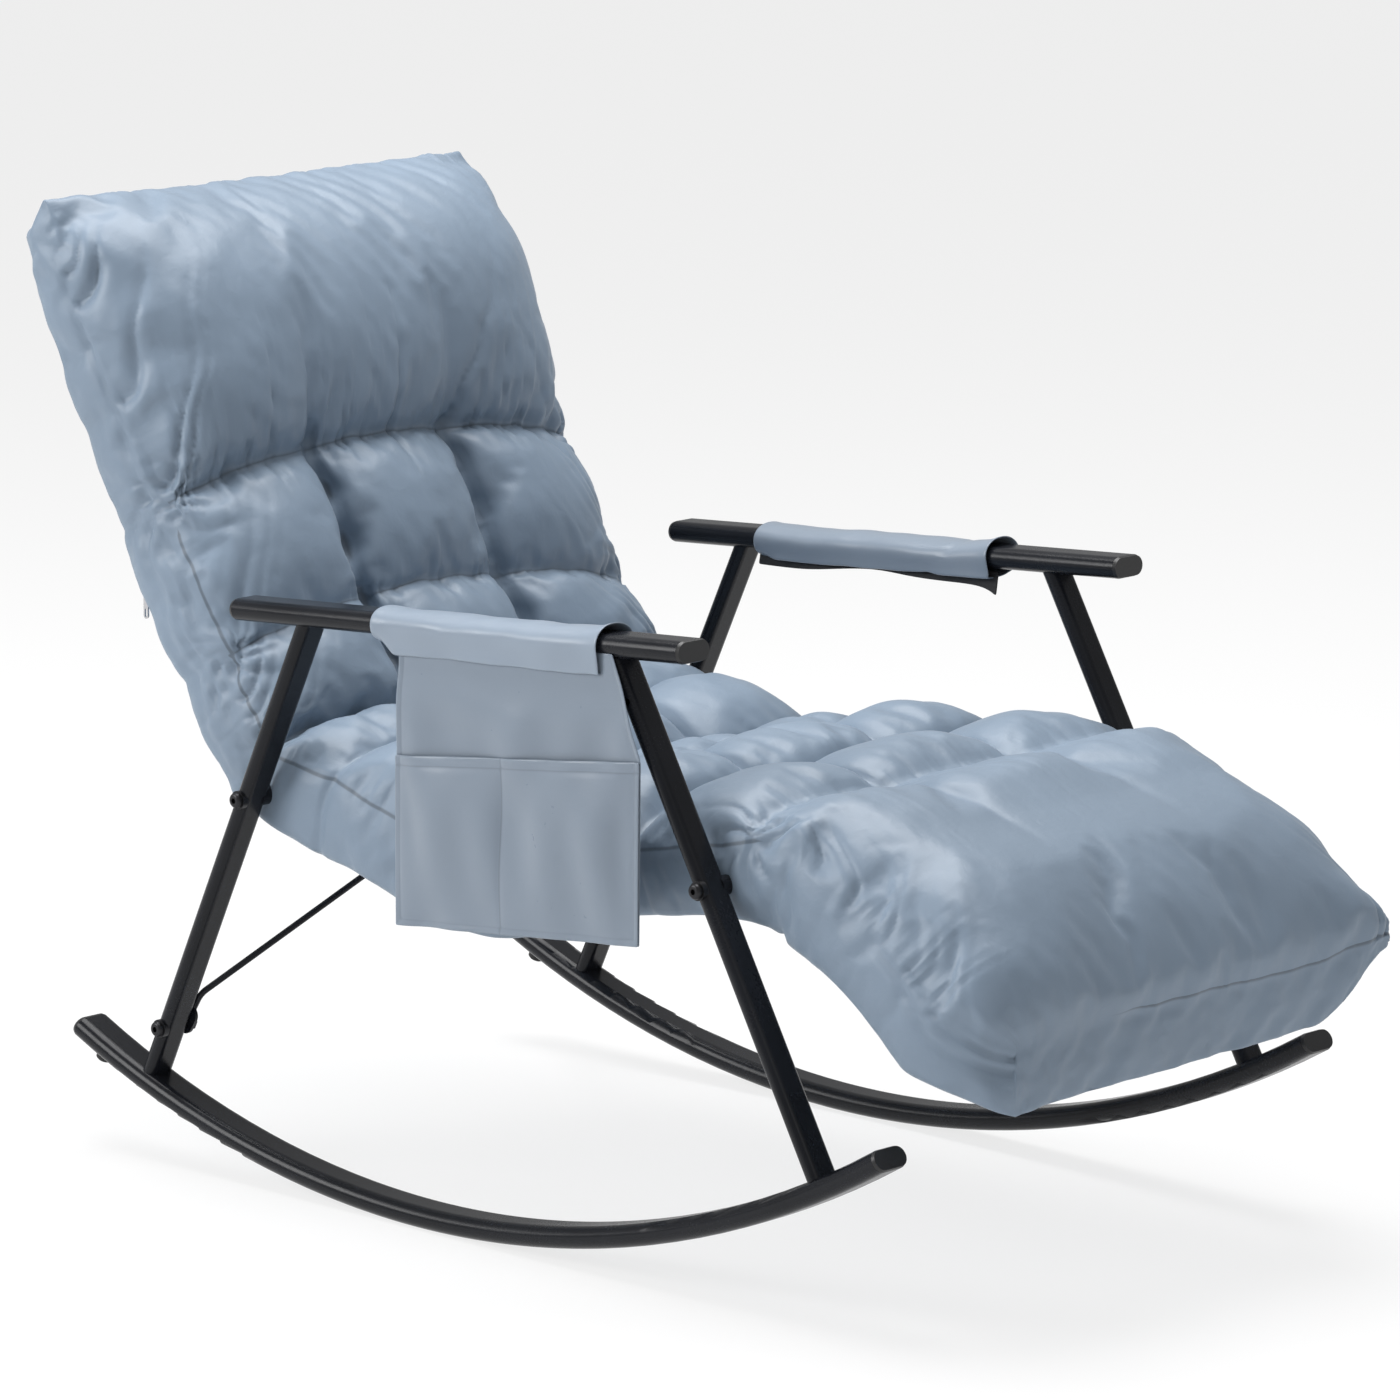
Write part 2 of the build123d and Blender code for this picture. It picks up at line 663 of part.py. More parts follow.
def back_panel(start, end):
    """The padded rear of the back, thin at both ends and swelling between them."""
    outside = []
    inside = []
    for share, padding in ((0.0, 0.0), (0.12, 0.6), (0.3, 1.0), (0.7, 1.0), (0.88, 0.6), (1.0, 0.0)):
        place = start + share * (end - start)
        level = rear_level(place) + 1
        outside.append((-place, level))
        inside.append((-place, level + panel_thickness + padding * (rear_padding - panel_thickness)))
    outer = Spline(*outside)
    inner = Spline(*inside)
    face = make_face([outer, inner, Line(outer @ 0, inner @ 0), Line(outer @ 1, inner @ 1)])
    width = recess_half_width - panel_margin
    return plate(face, back_hinge, back_angle, -width, width)


def seat_panel():
    """The cloth under the seat, bent with it."""
    level = seat_bottom + 1
    straight = rear_reach - valley_tangent
    panel = cover_panel(back_hinge, rear_angle, hub_clearance + 2, straight, level)
    panel += valley_band(level + panel_thickness, level, 2 * (recess_half_width - panel_margin))
    front = straight + valley_arc - seat_length
    panel += cover_panel(leg_hinge, front_angle, front, -hub_clearance - 2, level)
    for place in (rear_bolt, front_bolt):
        for side in (1, -1):
            block = plate(Circle(nut_flats), place, 0, inner_y - 22, inner_y + 12)
            panel -= block if side == 1 else mirrored(block)
    slot = Rectangle(brace_tab_length, brace_tab_length)
    place = seat_station(rear_cross_offset)[0]
    return panel - plate(slot, place, rear_angle, -2 * brace_tab_width, 2 * brace_tab_width)


# Arm covers
def sleeve_sketch(extra):
    """The cover's outline round the armrest, with its slack below."""
    height = rail_height + 2 * cover_clearance + 2 * cover_slack + 2 * extra
    corner = rail_height / 2 + cover_clearance + extra
    return Pos(0, -cover_slack) * RectangleRounded(rail_width + 2 * cover_ease + 2 * extra, height, corner)


def arm_cover(rear_x, y):
    """A loose cloth sleeve on an armrest, open at both ends."""
    start, end = (rear_x, arm_level), (rear_x + cover_length, arm_level)
    sleeve = straight_bar(start, end, y, sleeve_sketch(cover_thickness))
    return sleeve - straight_bar(start, end, y, sleeve_sketch(0))


def flap():
    """The loose lower edge of the left cover."""
    drop = rail_height / 2 + cover_clearance + 2 * cover_slack
    top = arm_level - drop - cover_thickness / 2
    sketch = Pos(-6, -cover_flap / 2) * Rot(0, 0, 12) * Rectangle(cloth_thickness, cover_flap)
    body = raised(across((left_cover_x + 6, top), 0, side_y), sketch, cover_length - 12)
    start, end = (left_cover_x, arm_level), (left_cover_x + cover_length, arm_level)
    return body - straight_bar(start, end, side_y, sleeve_sketch(0))


def pocket_wave(x_from, width, top, bottom, y, bulge):
    """A hanging cloth panel whose lower edge waves a little, as a loft from its straight top."""
    layers = []
    for share, amount in ((0.0, 0.0), (0.5, 0.7), (1.0, 1.0)):
        z = top + (bottom - top) * share
        shift = -pocket_slant * (arm_level - z) / pocket_drop
        left, right = x_from + shift, x_from + shift + width
        third = width / 3
        out = bulge * amount
        points = [(left, y), (left + third, y - out)]
        points += [(left + 2 * third, y + 0.3 * out), (right, y - 0.5 * out)]
        inner = Spline(*points)
        outer = Spline(*[(px, py - cloth_thickness) for px, py in points])
        face = make_face([inner, outer, Line(inner @ 0, outer @ 0), Line(inner @ 1, outer @ 1)])
        layers.append(Pos(0, 0, z) * face)
    return loft(layers)


def side_pocket():
    """The cloth that hangs from the right cover, the pouch on its outside, and the seams that join them."""
    y = -(side_y + rail_width / 2 + cover_ease + cover_thickness + press_gap)
    bottom = arm_level - pocket_drop
    mouth = arm_level - pocket_mouth_drop
    outer = y - pocket_depth - cloth_thickness
    panel = pocket_wave(pocket_rear_x, pocket_width, arm_level - 3, bottom, y, pocket_ripple)
    front = pocket_wave(pocket_rear_x, pocket_width, mouth, bottom, outer, pocket_ripple)
    seams = []
    for share in (0.0, pocket_divider, 1.0):
        x = pocket_rear_x + share * (pocket_width - pocket_seam)
        seams.append(pouch_wall(x, mouth, bottom + pocket_seam, y, outer))
    seams.append(bottom_strip(bottom, y, outer))
    return panel, front, [largest(seam - panel - front) for seam in seams]


def largest(shape):
    """The main solid of a cut shape."""
    return shape.solids().sort_by(SortBy.VOLUME)[-1]


def pouch_wall(x, top, bottom, y, outer):
    """A sewn side of the pouch, between its back and front cloth."""
    places = []
    for z in (top, bottom):
        shift = -pocket_slant * (arm_level - z) / pocket_drop
        section = Pos(x + shift + pocket_seam / 2, (y + outer) / 2 - cloth_thickness / 2)
        places.append(Pos(0, 0, z) * section * Rectangle(pocket_seam, y - outer))
    return loft(places, ruled=True)


def bottom_strip(bottom, y, outer):
    """The sewn lower edge of the pouch."""
    shift = -pocket_slant * (arm_level - bottom) / pocket_drop
    middle = pocket_rear_x + shift + pocket_width / 2
    place = Pos(middle, (y + outer) / 2 - cloth_thickness / 2, bottom + pocket_seam / 2)
    return place * Box(pocket_width, y - outer, pocket_seam)


# Zip
def zip_place():
    """Where the zip's slider sits on the rear edge of the back."""
    return beyond(back_hinge, back_angle, -zip_station, rear_level(zip_station))


def zip_slider():
    """The slider, flat on the rear edge."""
    place = beyond(zip_place(), back_angle, 0, -zip_slider_height / 2 - 0.2)
    block = Box(zip_slider_length, zip_slider_width, zip_slider_height)
    block = fillet(block.edges().filter_by(Axis.Y), 1.2)
    return Pos(place[0], -half_width + 8, place[1]) * Rot(0, -back_angle, 0) * block


def zip_pull():
    """The pull tab that hangs from the slider, with a slot at its end."""
    place = beyond(zip_place(), back_angle, 0, -zip_slider_height - 2.6)
    tab = SlotOverall(zip_pull_length, zip_pull_width)
    tab -= Pos(zip_pull_length * 0.28, 0) * SlotOverall(8, 2.6)
    tab = Pos(zip_pull_length / 2 - 2, -zip_pull_thickness / 2) * tab
    y = -half_width + 8
    return plate(tab, place, -90 - rest_roll, y - zip_pull_thickness / 2, y + zip_pull_thickness / 2)


def build():
    """Every piece of the chair, by name, still level."""
    pieces = {}
    rear_post = post(rear_post_line, (rear_bolt, brace_bolt))
    front_post = post(front_post_line, (front_bolt,))
    mark = beyond(front_post_line[1], degrees(atan2(front_post_line[0][1] - front_post_line[1][1], (
        front_post_line[0][0] - front_post_line[1][0]))), dimple_drop)
    front_post -= crosspin(mark, dimple_diameter, post_back - 3, post_back + 1)
    rail = {"rocker": rocker(rail_outer) - rocker(rail_bore), "armrest": arm(rail_outer) - arm(rail_bore)}
    for name, shape in (*rail.items(), ("rear_post", rear_post), ("front_post", front_post)):
        pieces["left_" + name] = shape
        pieces["right_" + name] = mirrored(shape)
    rocker_caps = [end_cap(beyond((0, rocker_radius), rocker_toe, 0, -rocker_line), rocker_toe)]
    heel = beyond((0, rocker_radius), -rocker_heel, 0, -rocker_line)
    rocker_caps.append(end_cap(heel, 180 - rocker_heel))
    arm_caps = [end_cap((arm_front_x, arm_level), 0), end_cap((arm_rear_x, arm_level), 180)]
    pieces["rocker_end_caps"] = [twin for cap in rocker_caps for twin in both(cap)]
    pieces["armrest_end_caps"] = [twin for cap in arm_caps for twin in both(cap)]
    pieces["rear_stop_pads"] = both(stop_pad())

    seat_tube = seat_side_tube()
    tube_solid = bent_tube(side_points(seat_tube_places(), inner_y), valley_radius, inner_tube)
    tube_solids = both(tube_solid)
    rear_cross = seat_station(rear_cross_offset)[0]
    front_cross = seat_station(seat_length - front_cross_offset)[0]
    pieces["left_seat_tube"] = seat_tube
    pieces["right_seat_tube"] = mirrored(seat_tube)
    pieces["rear_cross_tube"] = cross_bar(rear_cross, cross_tube, tube_solids)
    pieces["front_cross_tube"] = cross_bar(front_cross, cross_tube, tube_solids)
    back_points = bow(back_hinge, back_angle, back_frame_length, -1)
    leg_points = bow(leg_hinge, leg_angle, leg_frame_length, 1)
    pieces["back_frame"] = bent_tube(back_points, corner_radius, inner_tube, inner_wall)
    pieces["leg_frame"] = bent_tube(leg_points, corner_radius, inner_tube, inner_wall)
    back_solid = bent_tube(back_points, corner_radius, inner_tube)
    lumbar = beyond(back_hinge, back_angle, -lumbar_cross_offset)
    pieces["back_cross_tube"] = cross_bar(lumbar, cross_tube, [back_solid])
    pieces["seat_straps"] = [strap(*seat_station(place)) for place in seat_strap_stations]
    back_places = [beyond(back_hinge, back_angle, -place) for place in back_strap_stations]
    pieces["back_straps"] = [strap(place, back_angle) for place in back_places]
    leg_places = [beyond(leg_hinge, leg_angle, place) for place in leg_strap_stations]
    pieces["leg_straps"] = [strap(place, leg_angle) for place in leg_places]

    rear_gap = hypot(rear_bolt[0] - back_hinge[0], rear_bolt[1] - back_hinge[1])
    sets = {"back": hinge_set(back_hinge, rear_angle, back_angle + 180, rear_gap)}
    sets["leg"] = hinge_set(leg_hinge, front_angle + 180, leg_angle, None)
    for name, (leaf, moving, catch, pins) in sets.items():
        pieces[name + "_hinge_ratchets"] = both(leaf)
        pieces[name + "_hinge_forks"] = both(moving)
        pieces[name + "_hinge_pawls"] = both(catch)
        pieces[name + "_hinge_pins"] = [twin for pin in pins for twin in both(pin)]

    rear_solid = straight_bar(*rear_post_line, side_y, post_outer)
    front_solid = straight_bar(*front_post_line, side_y, post_outer)
    nut_seat = inner_y - tube_radius + 4
    tip = inner_y - tube_radius - nut_height + 2
    seat_bolts = [socket_bolt(rear_bolt, tip), socket_bolt(front_bolt, tip)]
    low_face = post_face - brace_tab_thickness
    low_bolt = socket_bolt(brace_bolt, low_face - nut_height - 2)
    washers = [saddle_washer(rear_bolt, rear_solid), saddle_washer(front_bolt, front_solid)]
    washers.append(saddle_washer(brace_bolt, rear_solid))
    nuts = [nut(rear_bolt, nut_seat, tube_solid), nut(front_bolt, nut_seat, tube_solid)]
    nuts.append(nut(brace_bolt, low_face, rear_solid))
    spacers = [spacer(rear_bolt, rear_solid, tube_solid), spacer(front_bolt, front_solid, tube_solid)]
    pieces["seat_bolts"] = [twin for bolt in seat_bolts for twin in both(bolt)]
    pieces["brace_bolts"] = both(low_bolt)
    pieces["bolt_washers"] = [twin for ring in washers for twin in both(ring)]
    pieces["bolt_nuts"] = [twin for ring in nuts for twin in both(ring)]
    pieces["seat_spacers"] = [twin for bush in spacers for twin in both(bush)]
    rod = brace()
    pieces["left_brace_rod"] = rod
    pieces["right_brace_rod"] = mirrored(rod)

    pieces["back_cushion"] = back_cushion()
    pieces["seat_cushion"] = seat_cushion()
    pieces["leg_cushion"] = leg_cushion()
    pieces["back_panel"] = back_panel(hub_clearance + 2, back_frame_length + tube_radius)
    pieces["seat_panel"] = seat_panel()
    leg_reach = leg_frame_length - 20
    pieces["leg_panel"] = cover_panel(leg_hinge, leg_angle, hub_clearance + 2, leg_reach, leg_bottom + 4)
    notch = SlotOverall(post_width + 2 * cover_notch, post_height + 2 * cover_notch)
    right_cover = arm_cover(right_cover_x, -side_y)
    pieces["right_arm_cover"] = right_cover - mirrored(straight_bar(*front_post_line, side_y, notch))
    pieces["left_arm_cover"] = arm_cover(left_cover_x, side_y) + flap()
    pieces["pocket_panel"], pieces["pocket_front"], pieces["pocket_seams"] = side_pocket()
    pieces["zip_slider"] = zip_slider()
    pieces["zip_pull"] = zip_pull()
    return pieces


def placed(shape):
    """A level piece rolled back on the rockers, with the floor still touched at x = 0."""
    return Pos(0, 0, rocker_radius) * Rot(0, -rest_roll, 0) * Pos(0, 0, -rocker_radius) * shape


os.makedirs("parts", exist_ok=True)
for name, shape in build().items():
    shapes = shape if isinstance(shape, list) else [shape]
    solids = [placed(solid) for piece in shapes for solid in piece.solids()]
    export_step(Compound(solids) if len(solids) > 1 else solids[0], f"parts/{name}.step")

for name, hinge in (("back hinge", back_hinge), ("leg hinge", leg_hinge)):
    centre = placed(Pos(hinge[0], 0, hinge[1]) * Box(1, 1, 1)).center()
    print(name, round(centre.X, 2), round(centre.Z, 2))
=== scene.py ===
"""Looks of a reclining rocking chair: tufted mattress, arm covers, side pocket and coated tube frame."""

import json
import logging
import math
from collections.abc import Callable
from dataclasses import dataclass, field
from enum import Enum

import bpy
import numpy as np
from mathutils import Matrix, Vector

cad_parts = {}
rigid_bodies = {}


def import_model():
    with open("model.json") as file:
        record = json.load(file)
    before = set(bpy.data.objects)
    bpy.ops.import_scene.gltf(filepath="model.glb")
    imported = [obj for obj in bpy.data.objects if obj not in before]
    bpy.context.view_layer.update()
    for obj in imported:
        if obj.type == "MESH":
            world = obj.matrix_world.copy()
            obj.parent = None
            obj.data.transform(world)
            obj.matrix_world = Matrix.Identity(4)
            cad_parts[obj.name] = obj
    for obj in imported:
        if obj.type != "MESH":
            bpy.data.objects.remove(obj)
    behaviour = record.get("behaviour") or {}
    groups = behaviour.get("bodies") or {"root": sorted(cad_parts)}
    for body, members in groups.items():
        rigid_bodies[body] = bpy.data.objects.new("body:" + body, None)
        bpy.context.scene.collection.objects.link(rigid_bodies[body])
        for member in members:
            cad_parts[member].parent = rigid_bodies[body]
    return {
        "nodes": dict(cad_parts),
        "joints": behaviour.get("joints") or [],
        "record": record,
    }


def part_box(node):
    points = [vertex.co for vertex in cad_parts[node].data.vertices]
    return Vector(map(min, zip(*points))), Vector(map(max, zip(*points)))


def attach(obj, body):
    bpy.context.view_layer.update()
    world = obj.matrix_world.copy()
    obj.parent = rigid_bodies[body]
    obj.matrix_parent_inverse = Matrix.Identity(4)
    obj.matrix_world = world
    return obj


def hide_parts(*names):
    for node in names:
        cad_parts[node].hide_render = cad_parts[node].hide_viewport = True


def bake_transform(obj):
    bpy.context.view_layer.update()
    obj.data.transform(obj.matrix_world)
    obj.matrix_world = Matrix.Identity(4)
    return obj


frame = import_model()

Array = np.ndarray
Piece = bpy.types.Object
Pair = tuple[float, float]
Triple = tuple[float, float, float]

log = logging.getLogger("chair")
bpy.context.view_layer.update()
FIRST_COLOUR, SECOND_COLOUR, MIXED_COLOUR = 6, 7, 2
GRAIN_RANGE = (0.3, 0.7)
CLOTH_FRAMES = 24
CLOTH_CAP = 0.015
FILLING = {
    "quality": 6,
    "mass": 0.25,
    "tension_stiffness": 18.0,
    "compression_stiffness": 18.0,
    "shear_stiffness": 8.0,
    "bending_stiffness": 0.03,
    "use_pressure": True,
    "uniform_pressure_force": 3.5,
    "shrink_min": -0.025,
    "vertex_group_mass": "sewn",
    "pin_stiffness": 1.0,
}


class Slot(Enum):
    """Material slots of the record."""

    MATTRESS = "mattress_cloth"
    COVER = "cover_cloth"
    WEBBING = "webbing"
    FRAME = "frame_coat"
    CAP = "cap_plastic"
    RUBBER = "stop_rubber"
    FASTENER = "fastener_steel"
    HINGE = "hinge_steel"
    ZIP = "zip_metal"


def arithmetic(operation: str, swapped: bool = False) -> Callable[["Wire", object], "Wire"]:
    """Return a method that adds a Math node for a wire and another value, which comes first if swapped."""
    def method(wire: "Wire", other: object) -> "Wire":
        """Return the wire of the Math node."""
        return wire.math(operation, *((other, wire) if swapped else (wire, other)))
    return method


class Wire:
    """A shader socket whose arithmetic adds Math nodes."""

    def __init__(self, shader: "Shader", socket: bpy.types.NodeSocket) -> None:
        """Keep the socket and the shader that it belongs to."""
        self.shader = shader
        self.socket = socket

    def math(self, operation: str, *values: object) -> "Wire":
        """Return the result of a Math node on the given values."""
        settings = {"operation": operation}
        return self.shader.node("ShaderNodeMath", settings, dict(enumerate(values)))

    __add__ = __radd__ = arithmetic("ADD")
    __sub__ = arithmetic("SUBTRACT")
    __rsub__ = arithmetic("SUBTRACT", swapped=True)
    __mul__ = arithmetic("MULTIPLY")

    def ramp(self, low: float, high: float) -> "Wire":
        """Return a smooth step from 0 at low to 1 at high."""
        settings = {"interpolation_type": "SMOOTHSTEP"}
        inputs = {"Value": self, "From Min": low, "From Max": high}
        return self.shader.node("ShaderNodeMapRange", settings, inputs)


class Shader:
    """A material under construction, with its Principled surface."""

    def __init__(self, name: str) -> None:
        """Start an empty material of that name."""
        self.material = bpy.data.materials.new(name)
        self.material.use_nodes = True
        self.tree = self.material.node_tree
        self.tree.nodes.clear()

    def node(self, kind: str, settings: dict | None = None, inputs: dict | None = None,
             output: object = 0) -> Wire:
        """Add a node.

        Args:
            kind: The node's type.
            settings: Properties that are set before its sockets.
            inputs: Values or wires by socket name or number.
            output: The name or number of the socket that is returned.

        Returns:
            The wire of that output socket.
        """
        made = self.tree.nodes.new(kind)
        for key, value in (settings or {}).items():
            setattr(made, key, value)
        for key, value in (inputs or {}).items():
            if isinstance(value, Wire):
                self.tree.links.new(value.socket, made.inputs[key])
            else:
                made.inputs[key].default_value = value
        return Wire(self, made.outputs[output])

    def place(self) -> Wire:
        """Return the Object coordinates."""
        return self.node("ShaderNodeTexCoord", output="Object")

    def attribute(self, name: str) -> Wire:
        """Return a number that the mesh carries."""
        return self.node("ShaderNodeAttribute", {"attribute_name": name}, output="Fac")

    def grain(self, scale: float, detail: float = 2.0, twist: float = 0.0) -> Wire:
        """Return a noise of that scale per metre, mostly inside GRAIN_RANGE."""
        inputs = {"Vector": self.place(), "Scale": scale, "Detail": detail, "Distortion": twist}
        return self.node("ShaderNodeTexNoise", inputs=inputs, output="Fac")

    def mix(self, share: object, first: object, second: object) -> Wire:
        """Return a colour between two colours."""
        inputs = {"Factor": share, FIRST_COLOUR: first, SECOND_COLOUR: second}
        return self.node("ShaderNodeMix", {"data_type": "RGBA"}, inputs, MIXED_COLOUR)

    def bump(self, height: Wire, strength: float, distance: float, under: Wire | None = None) -> Wire:
        """Return a normal that follows a height."""
        inputs = {"Height": height, "Strength": strength, "Distance": distance}
        if under:
            inputs["Normal"] = under
        return self.node("ShaderNodeBump", inputs=inputs)

    def finish(self, **sockets: object) -> bpy.types.Material:
        """Close the material.

        Args:
            sockets: Values or wires of the Principled surface, with _ for a space in a name.

        Returns:
            The finished material.
        """
        inputs = {name.replace("_", " "): value for name, value in sockets.items()}
        self.show(self.node("ShaderNodeBsdfPrincipled", inputs=inputs))
        return self.material

    def show(self, surface: Wire) -> None:
        """Join a surface to the material's output."""
        made = self.tree.nodes.new("ShaderNodeOutputMaterial")
        self.tree.links.new(surface.socket, made.inputs["Surface"])


def tint(colour: Triple, share: float) -> tuple[float, ...]:
    """Return a colour, scaled by a share, with full opacity."""
    return (*[part * share for part in colour], 1.0)


@dataclass(frozen=True)
class CoatedCloth:
    """Soft coated cloth with a satin gloss, fine crinkles, darker seam lines that are partly painted crease
    shade, and painted shade on the pieces marked for it.
    """

    colour: Triple
    gloss: float
    crinkle: float
    # painted shade: the share of the colour on pieces marked for it, a shaded copy of the cloth
    painted_shade_share: float = 0.80
    stitch_and_shade_share: float = 0.22
    stitch_and_shade_cover: float = 0.6
    stitch_and_shade_edge: Pair = (0.0006, 0.0028)

    def make(self, name: str) -> bpy.types.Material:
        """Return the cloth's material under a name."""
        cloth = Shader(name)
        broad = cloth.grain(scale=5.0, detail=3.0)
        fine = cloth.grain(scale=70.0, detail=4.0, twist=0.6)
        pores = cloth.grain(scale=1400.0, detail=1.0)
        shade = cloth.mix(broad.ramp(*GRAIN_RANGE), tint(self.colour, 0.93), tint(self.colour, 1.05))
        # painted shade: marked pieces are drawn darker, standing in for the dimmer light on them
        shade = cloth.mix(cloth.attribute("painted_shade"), shade, tint(self.colour, self.painted_shade_share))
        # dark lines: the stitched seams, and on the back painted shade in the creases of its sewn lines
        stitch_and_shade = 1.0 - cloth.attribute("seam_and_shade_gap").ramp(*self.stitch_and_shade_edge)
        colour = cloth.mix(stitch_and_shade * self.stitch_and_shade_cover, shade, tint(self.colour, self.stitch_and_shade_share))
        rough = self.gloss + (fine - 0.5) * 0.16 + (broad - 0.5) * 0.12
        folds = cloth.bump(fine, strength=self.crinkle, distance=0.003)
        normal = cloth.bump(pores, strength=0.06, distance=0.0004, under=folds)
        return cloth.finish(Base_Color=colour, Roughness=rough, Normal=normal, Sheen_Weight=0.05,
                            Specular_IOR_Level=0.40)


@dataclass(frozen=True)
class Coating:
    """Paint, plastic, rubber or plating with a fine surface grain."""

    colour: Triple
    gloss: float
    peel: float
    peel_scale: float
    metal: float = 0.0
    shine: float = 0.5

    def make(self, name: str) -> bpy.types.Material:
        """Return the coating's material under a name."""
        paint = Shader(name)
        broad = paint.grain(scale=9.0)
        peel = paint.grain(scale=self.peel_scale)
        colour = paint.mix(broad.ramp(*GRAIN_RANGE), tint(self.colour, 0.85), tint(self.colour, 1.15))
        rough = self.gloss + (broad - 0.5) * 0.15 + (peel - 0.5) * 0.08
        normal = paint.bump(peel, strength=self.peel, distance=0.0006)
        return paint.finish(Base_Color=colour, Roughness=rough, Normal=normal, Metallic=self.metal,
                            Specular_IOR_Level=self.shine)


@dataclass(frozen=True)
class Webbing:
    """Woven strap with ribs along and across."""

    colour: Triple
    pitch: float

    def make(self, name: str) -> bpy.types.Material:
        """Return the strap's material under a name."""
        strap = Shader(name)
        ribs = []
        for way in ("X", "Y"):
            settings = {"wave_type": "BANDS", "bands_direction": way}
            inputs = {"Vector": strap.place(), "Scale": 1 / self.pitch}
            ribs.append(strap.node("ShaderNodeTexWave", settings, inputs, "Fac"))
        weave = ribs[0] * ribs[1]
        colour = strap.mix(weave, tint(self.colour, 0.6), tint(self.colour, 1.2))
        normal = strap.bump(weave, strength=0.5, distance=0.001)
        return strap.finish(Base_Color=colour, Roughness=0.8, Normal=normal)


FINISHES = {
    Slot.MATTRESS: CoatedCloth((0.188, 0.246, 0.319), gloss=0.44, crinkle=0.16),
    # the near sleeve shows this colour; the pocket and the far sleeve darken it with painted shade
    Slot.COVER: CoatedCloth((0.245, 0.297, 0.365), gloss=0.32, crinkle=0.06),
    Slot.WEBBING: Webbing((0.03, 0.03, 0.032), pitch=0.004),
    Slot.FRAME: Coating((0.0085, 0.0095, 0.0125), gloss=0.25, peel=0.08, peel_scale=420.0, shine=0.22),
    Slot.CAP: Coating((0.012, 0.012, 0.013), gloss=0.42, peel=0.18, peel_scale=900.0),
    Slot.RUBBER: Coating((0.016, 0.016, 0.016), gloss=0.75, peel=0.3, peel_scale=700.0),
    Slot.FASTENER: Coating((0.03, 0.03, 0.033), gloss=0.35, peel=0.05, peel_scale=600.0, metal=0.8),
    Slot.HINGE: Coating((0.45, 0.45, 0.47), gloss=0.32, peel=0.08, peel_scale=500.0, metal=1.0),
    Slot.ZIP: Coating((0.6, 0.6, 0.62), gloss=0.25, peel=0.05, peel_scale=500.0, metal=1.0),
}


class Workshop:
    """Materials by slot, and the dressing of pieces and CAD nodes."""

    def __init__(self) -> None:
        """Make every finish once."""
        self.materials = {slot: finish.make(slot.value) for slot, finish in FINISHES.items()}

    def dress(self, piece: Piece, slot: Slot) -> None:
        """Give a piece the finish of its slot."""
        piece.data.materials.clear()
        piece.data.materials.append(self.materials[slot])

    def dress_nodes(self) -> None:
        """Give every CAD node the finish that the record names."""
        for subpart in frame["record"]["subparts"]:
            self.dress(frame["nodes"][subpart["node"]], Slot(subpart["material_slot"]))


def smooth(share: Array) -> Array:
    """Return a smooth step of values that are first held between 0 and 1."""
    held = np.clip(share, 0.0, 1.0)
    return held * held * (3 - 2 * held)


def bell(place: Array, middle: float, reach: float) -> Array:
    """Return a bell curve that is 1 at its middle."""
    return np.exp(-((place - middle) / reach) ** 2)


def dome(share: Array, power: float, root: object) -> Array:
    """Return a rounded crown over shares from -1 to 1 that is 1 at 0."""
    return (1 - np.abs(share) ** power) ** root


def ripples(points: Array, size: float, seed: int = 7) -> Array:
    """Return small uneven shifts of points, as a sum of plane waves 20 to 80 mm long.

    Args:
        points: Places in metres.
        size: Largest shift of one wave.
        seed: Start of the random draws.

    Returns:
        A shift for each point.
    """
    draws = np.random.default_rng(seed)
    shift = np.zeros_like(points)
    for _ in range(12):
        wave = draws.normal(size=3)
        wave = wave / np.linalg.norm(wave) * math.tau / draws.uniform(0.02, 0.08)
        phase = draws.uniform(0, math.tau)
        shift = shift + size * np.sin(points @ wave + phase)[:, None] * draws.normal(size=3)
    return shift / 3


def quads(ids: Array) -> list[list[int]]:
    """Return the faces between the points of a numbered grid."""
    corners = (ids[:-1, :-1], ids[1:, :-1], ids[1:, 1:], ids[:-1, 1:])
    return np.stack(corners, -1).reshape(-1, 4).tolist()


def mesh_piece(name: str, points: Array, faces: list) -> Piece:
    """Make a smooth mesh object in the scene.

    Args:
        name: Name of the piece.
        points: Places of its vertices.
        faces: Vertex numbers of each face, facing outwards.

    Returns:
        The new object.
    """
    mesh = bpy.data.meshes.new(name)
    mesh.from_pydata([tuple(point) for point in points], [], faces)
    mesh.polygons.foreach_set("use_smooth", [True] * len(mesh.polygons))
    piece = bpy.data.objects.new(name, mesh)
    bpy.context.scene.collection.objects.link(piece)
    return piece


def sheet_piece(name: str, places: Array, ring: bool = False) -> Piece:
    """Make a smooth mesh from a grid of places.

    Args:
        name: Name of the piece.
        places: Places by row and column.
        ring: Whether the last column joins the first.

    Returns:
        The new object.
    """
    rows, cols = places.shape[:2]
    ids = np.arange(rows * cols).reshape(rows, cols)
    if ring:
        ids = np.concatenate([ids, ids[:, :1]], 1)
    return mesh_piece(name, places.reshape(-1, 3), quads(ids))


def read_points(mesh: bpy.types.Mesh, kind: str = "co") -> Array:
    """Return the places of a mesh's points, or their normals."""
    values = np.zeros(3 * len(mesh.vertices))
    mesh.vertices.foreach_get(kind, values)
    return values.reshape(-1, 3)


def walked(lines: Array) -> Array:
    """Return the distance along each row of places from its first place."""
    steps = np.linalg.norm(np.diff(lines, axis=1), axis=2)
    return np.concatenate([np.zeros((len(lines), 1)), np.cumsum(steps, 1)], 1)


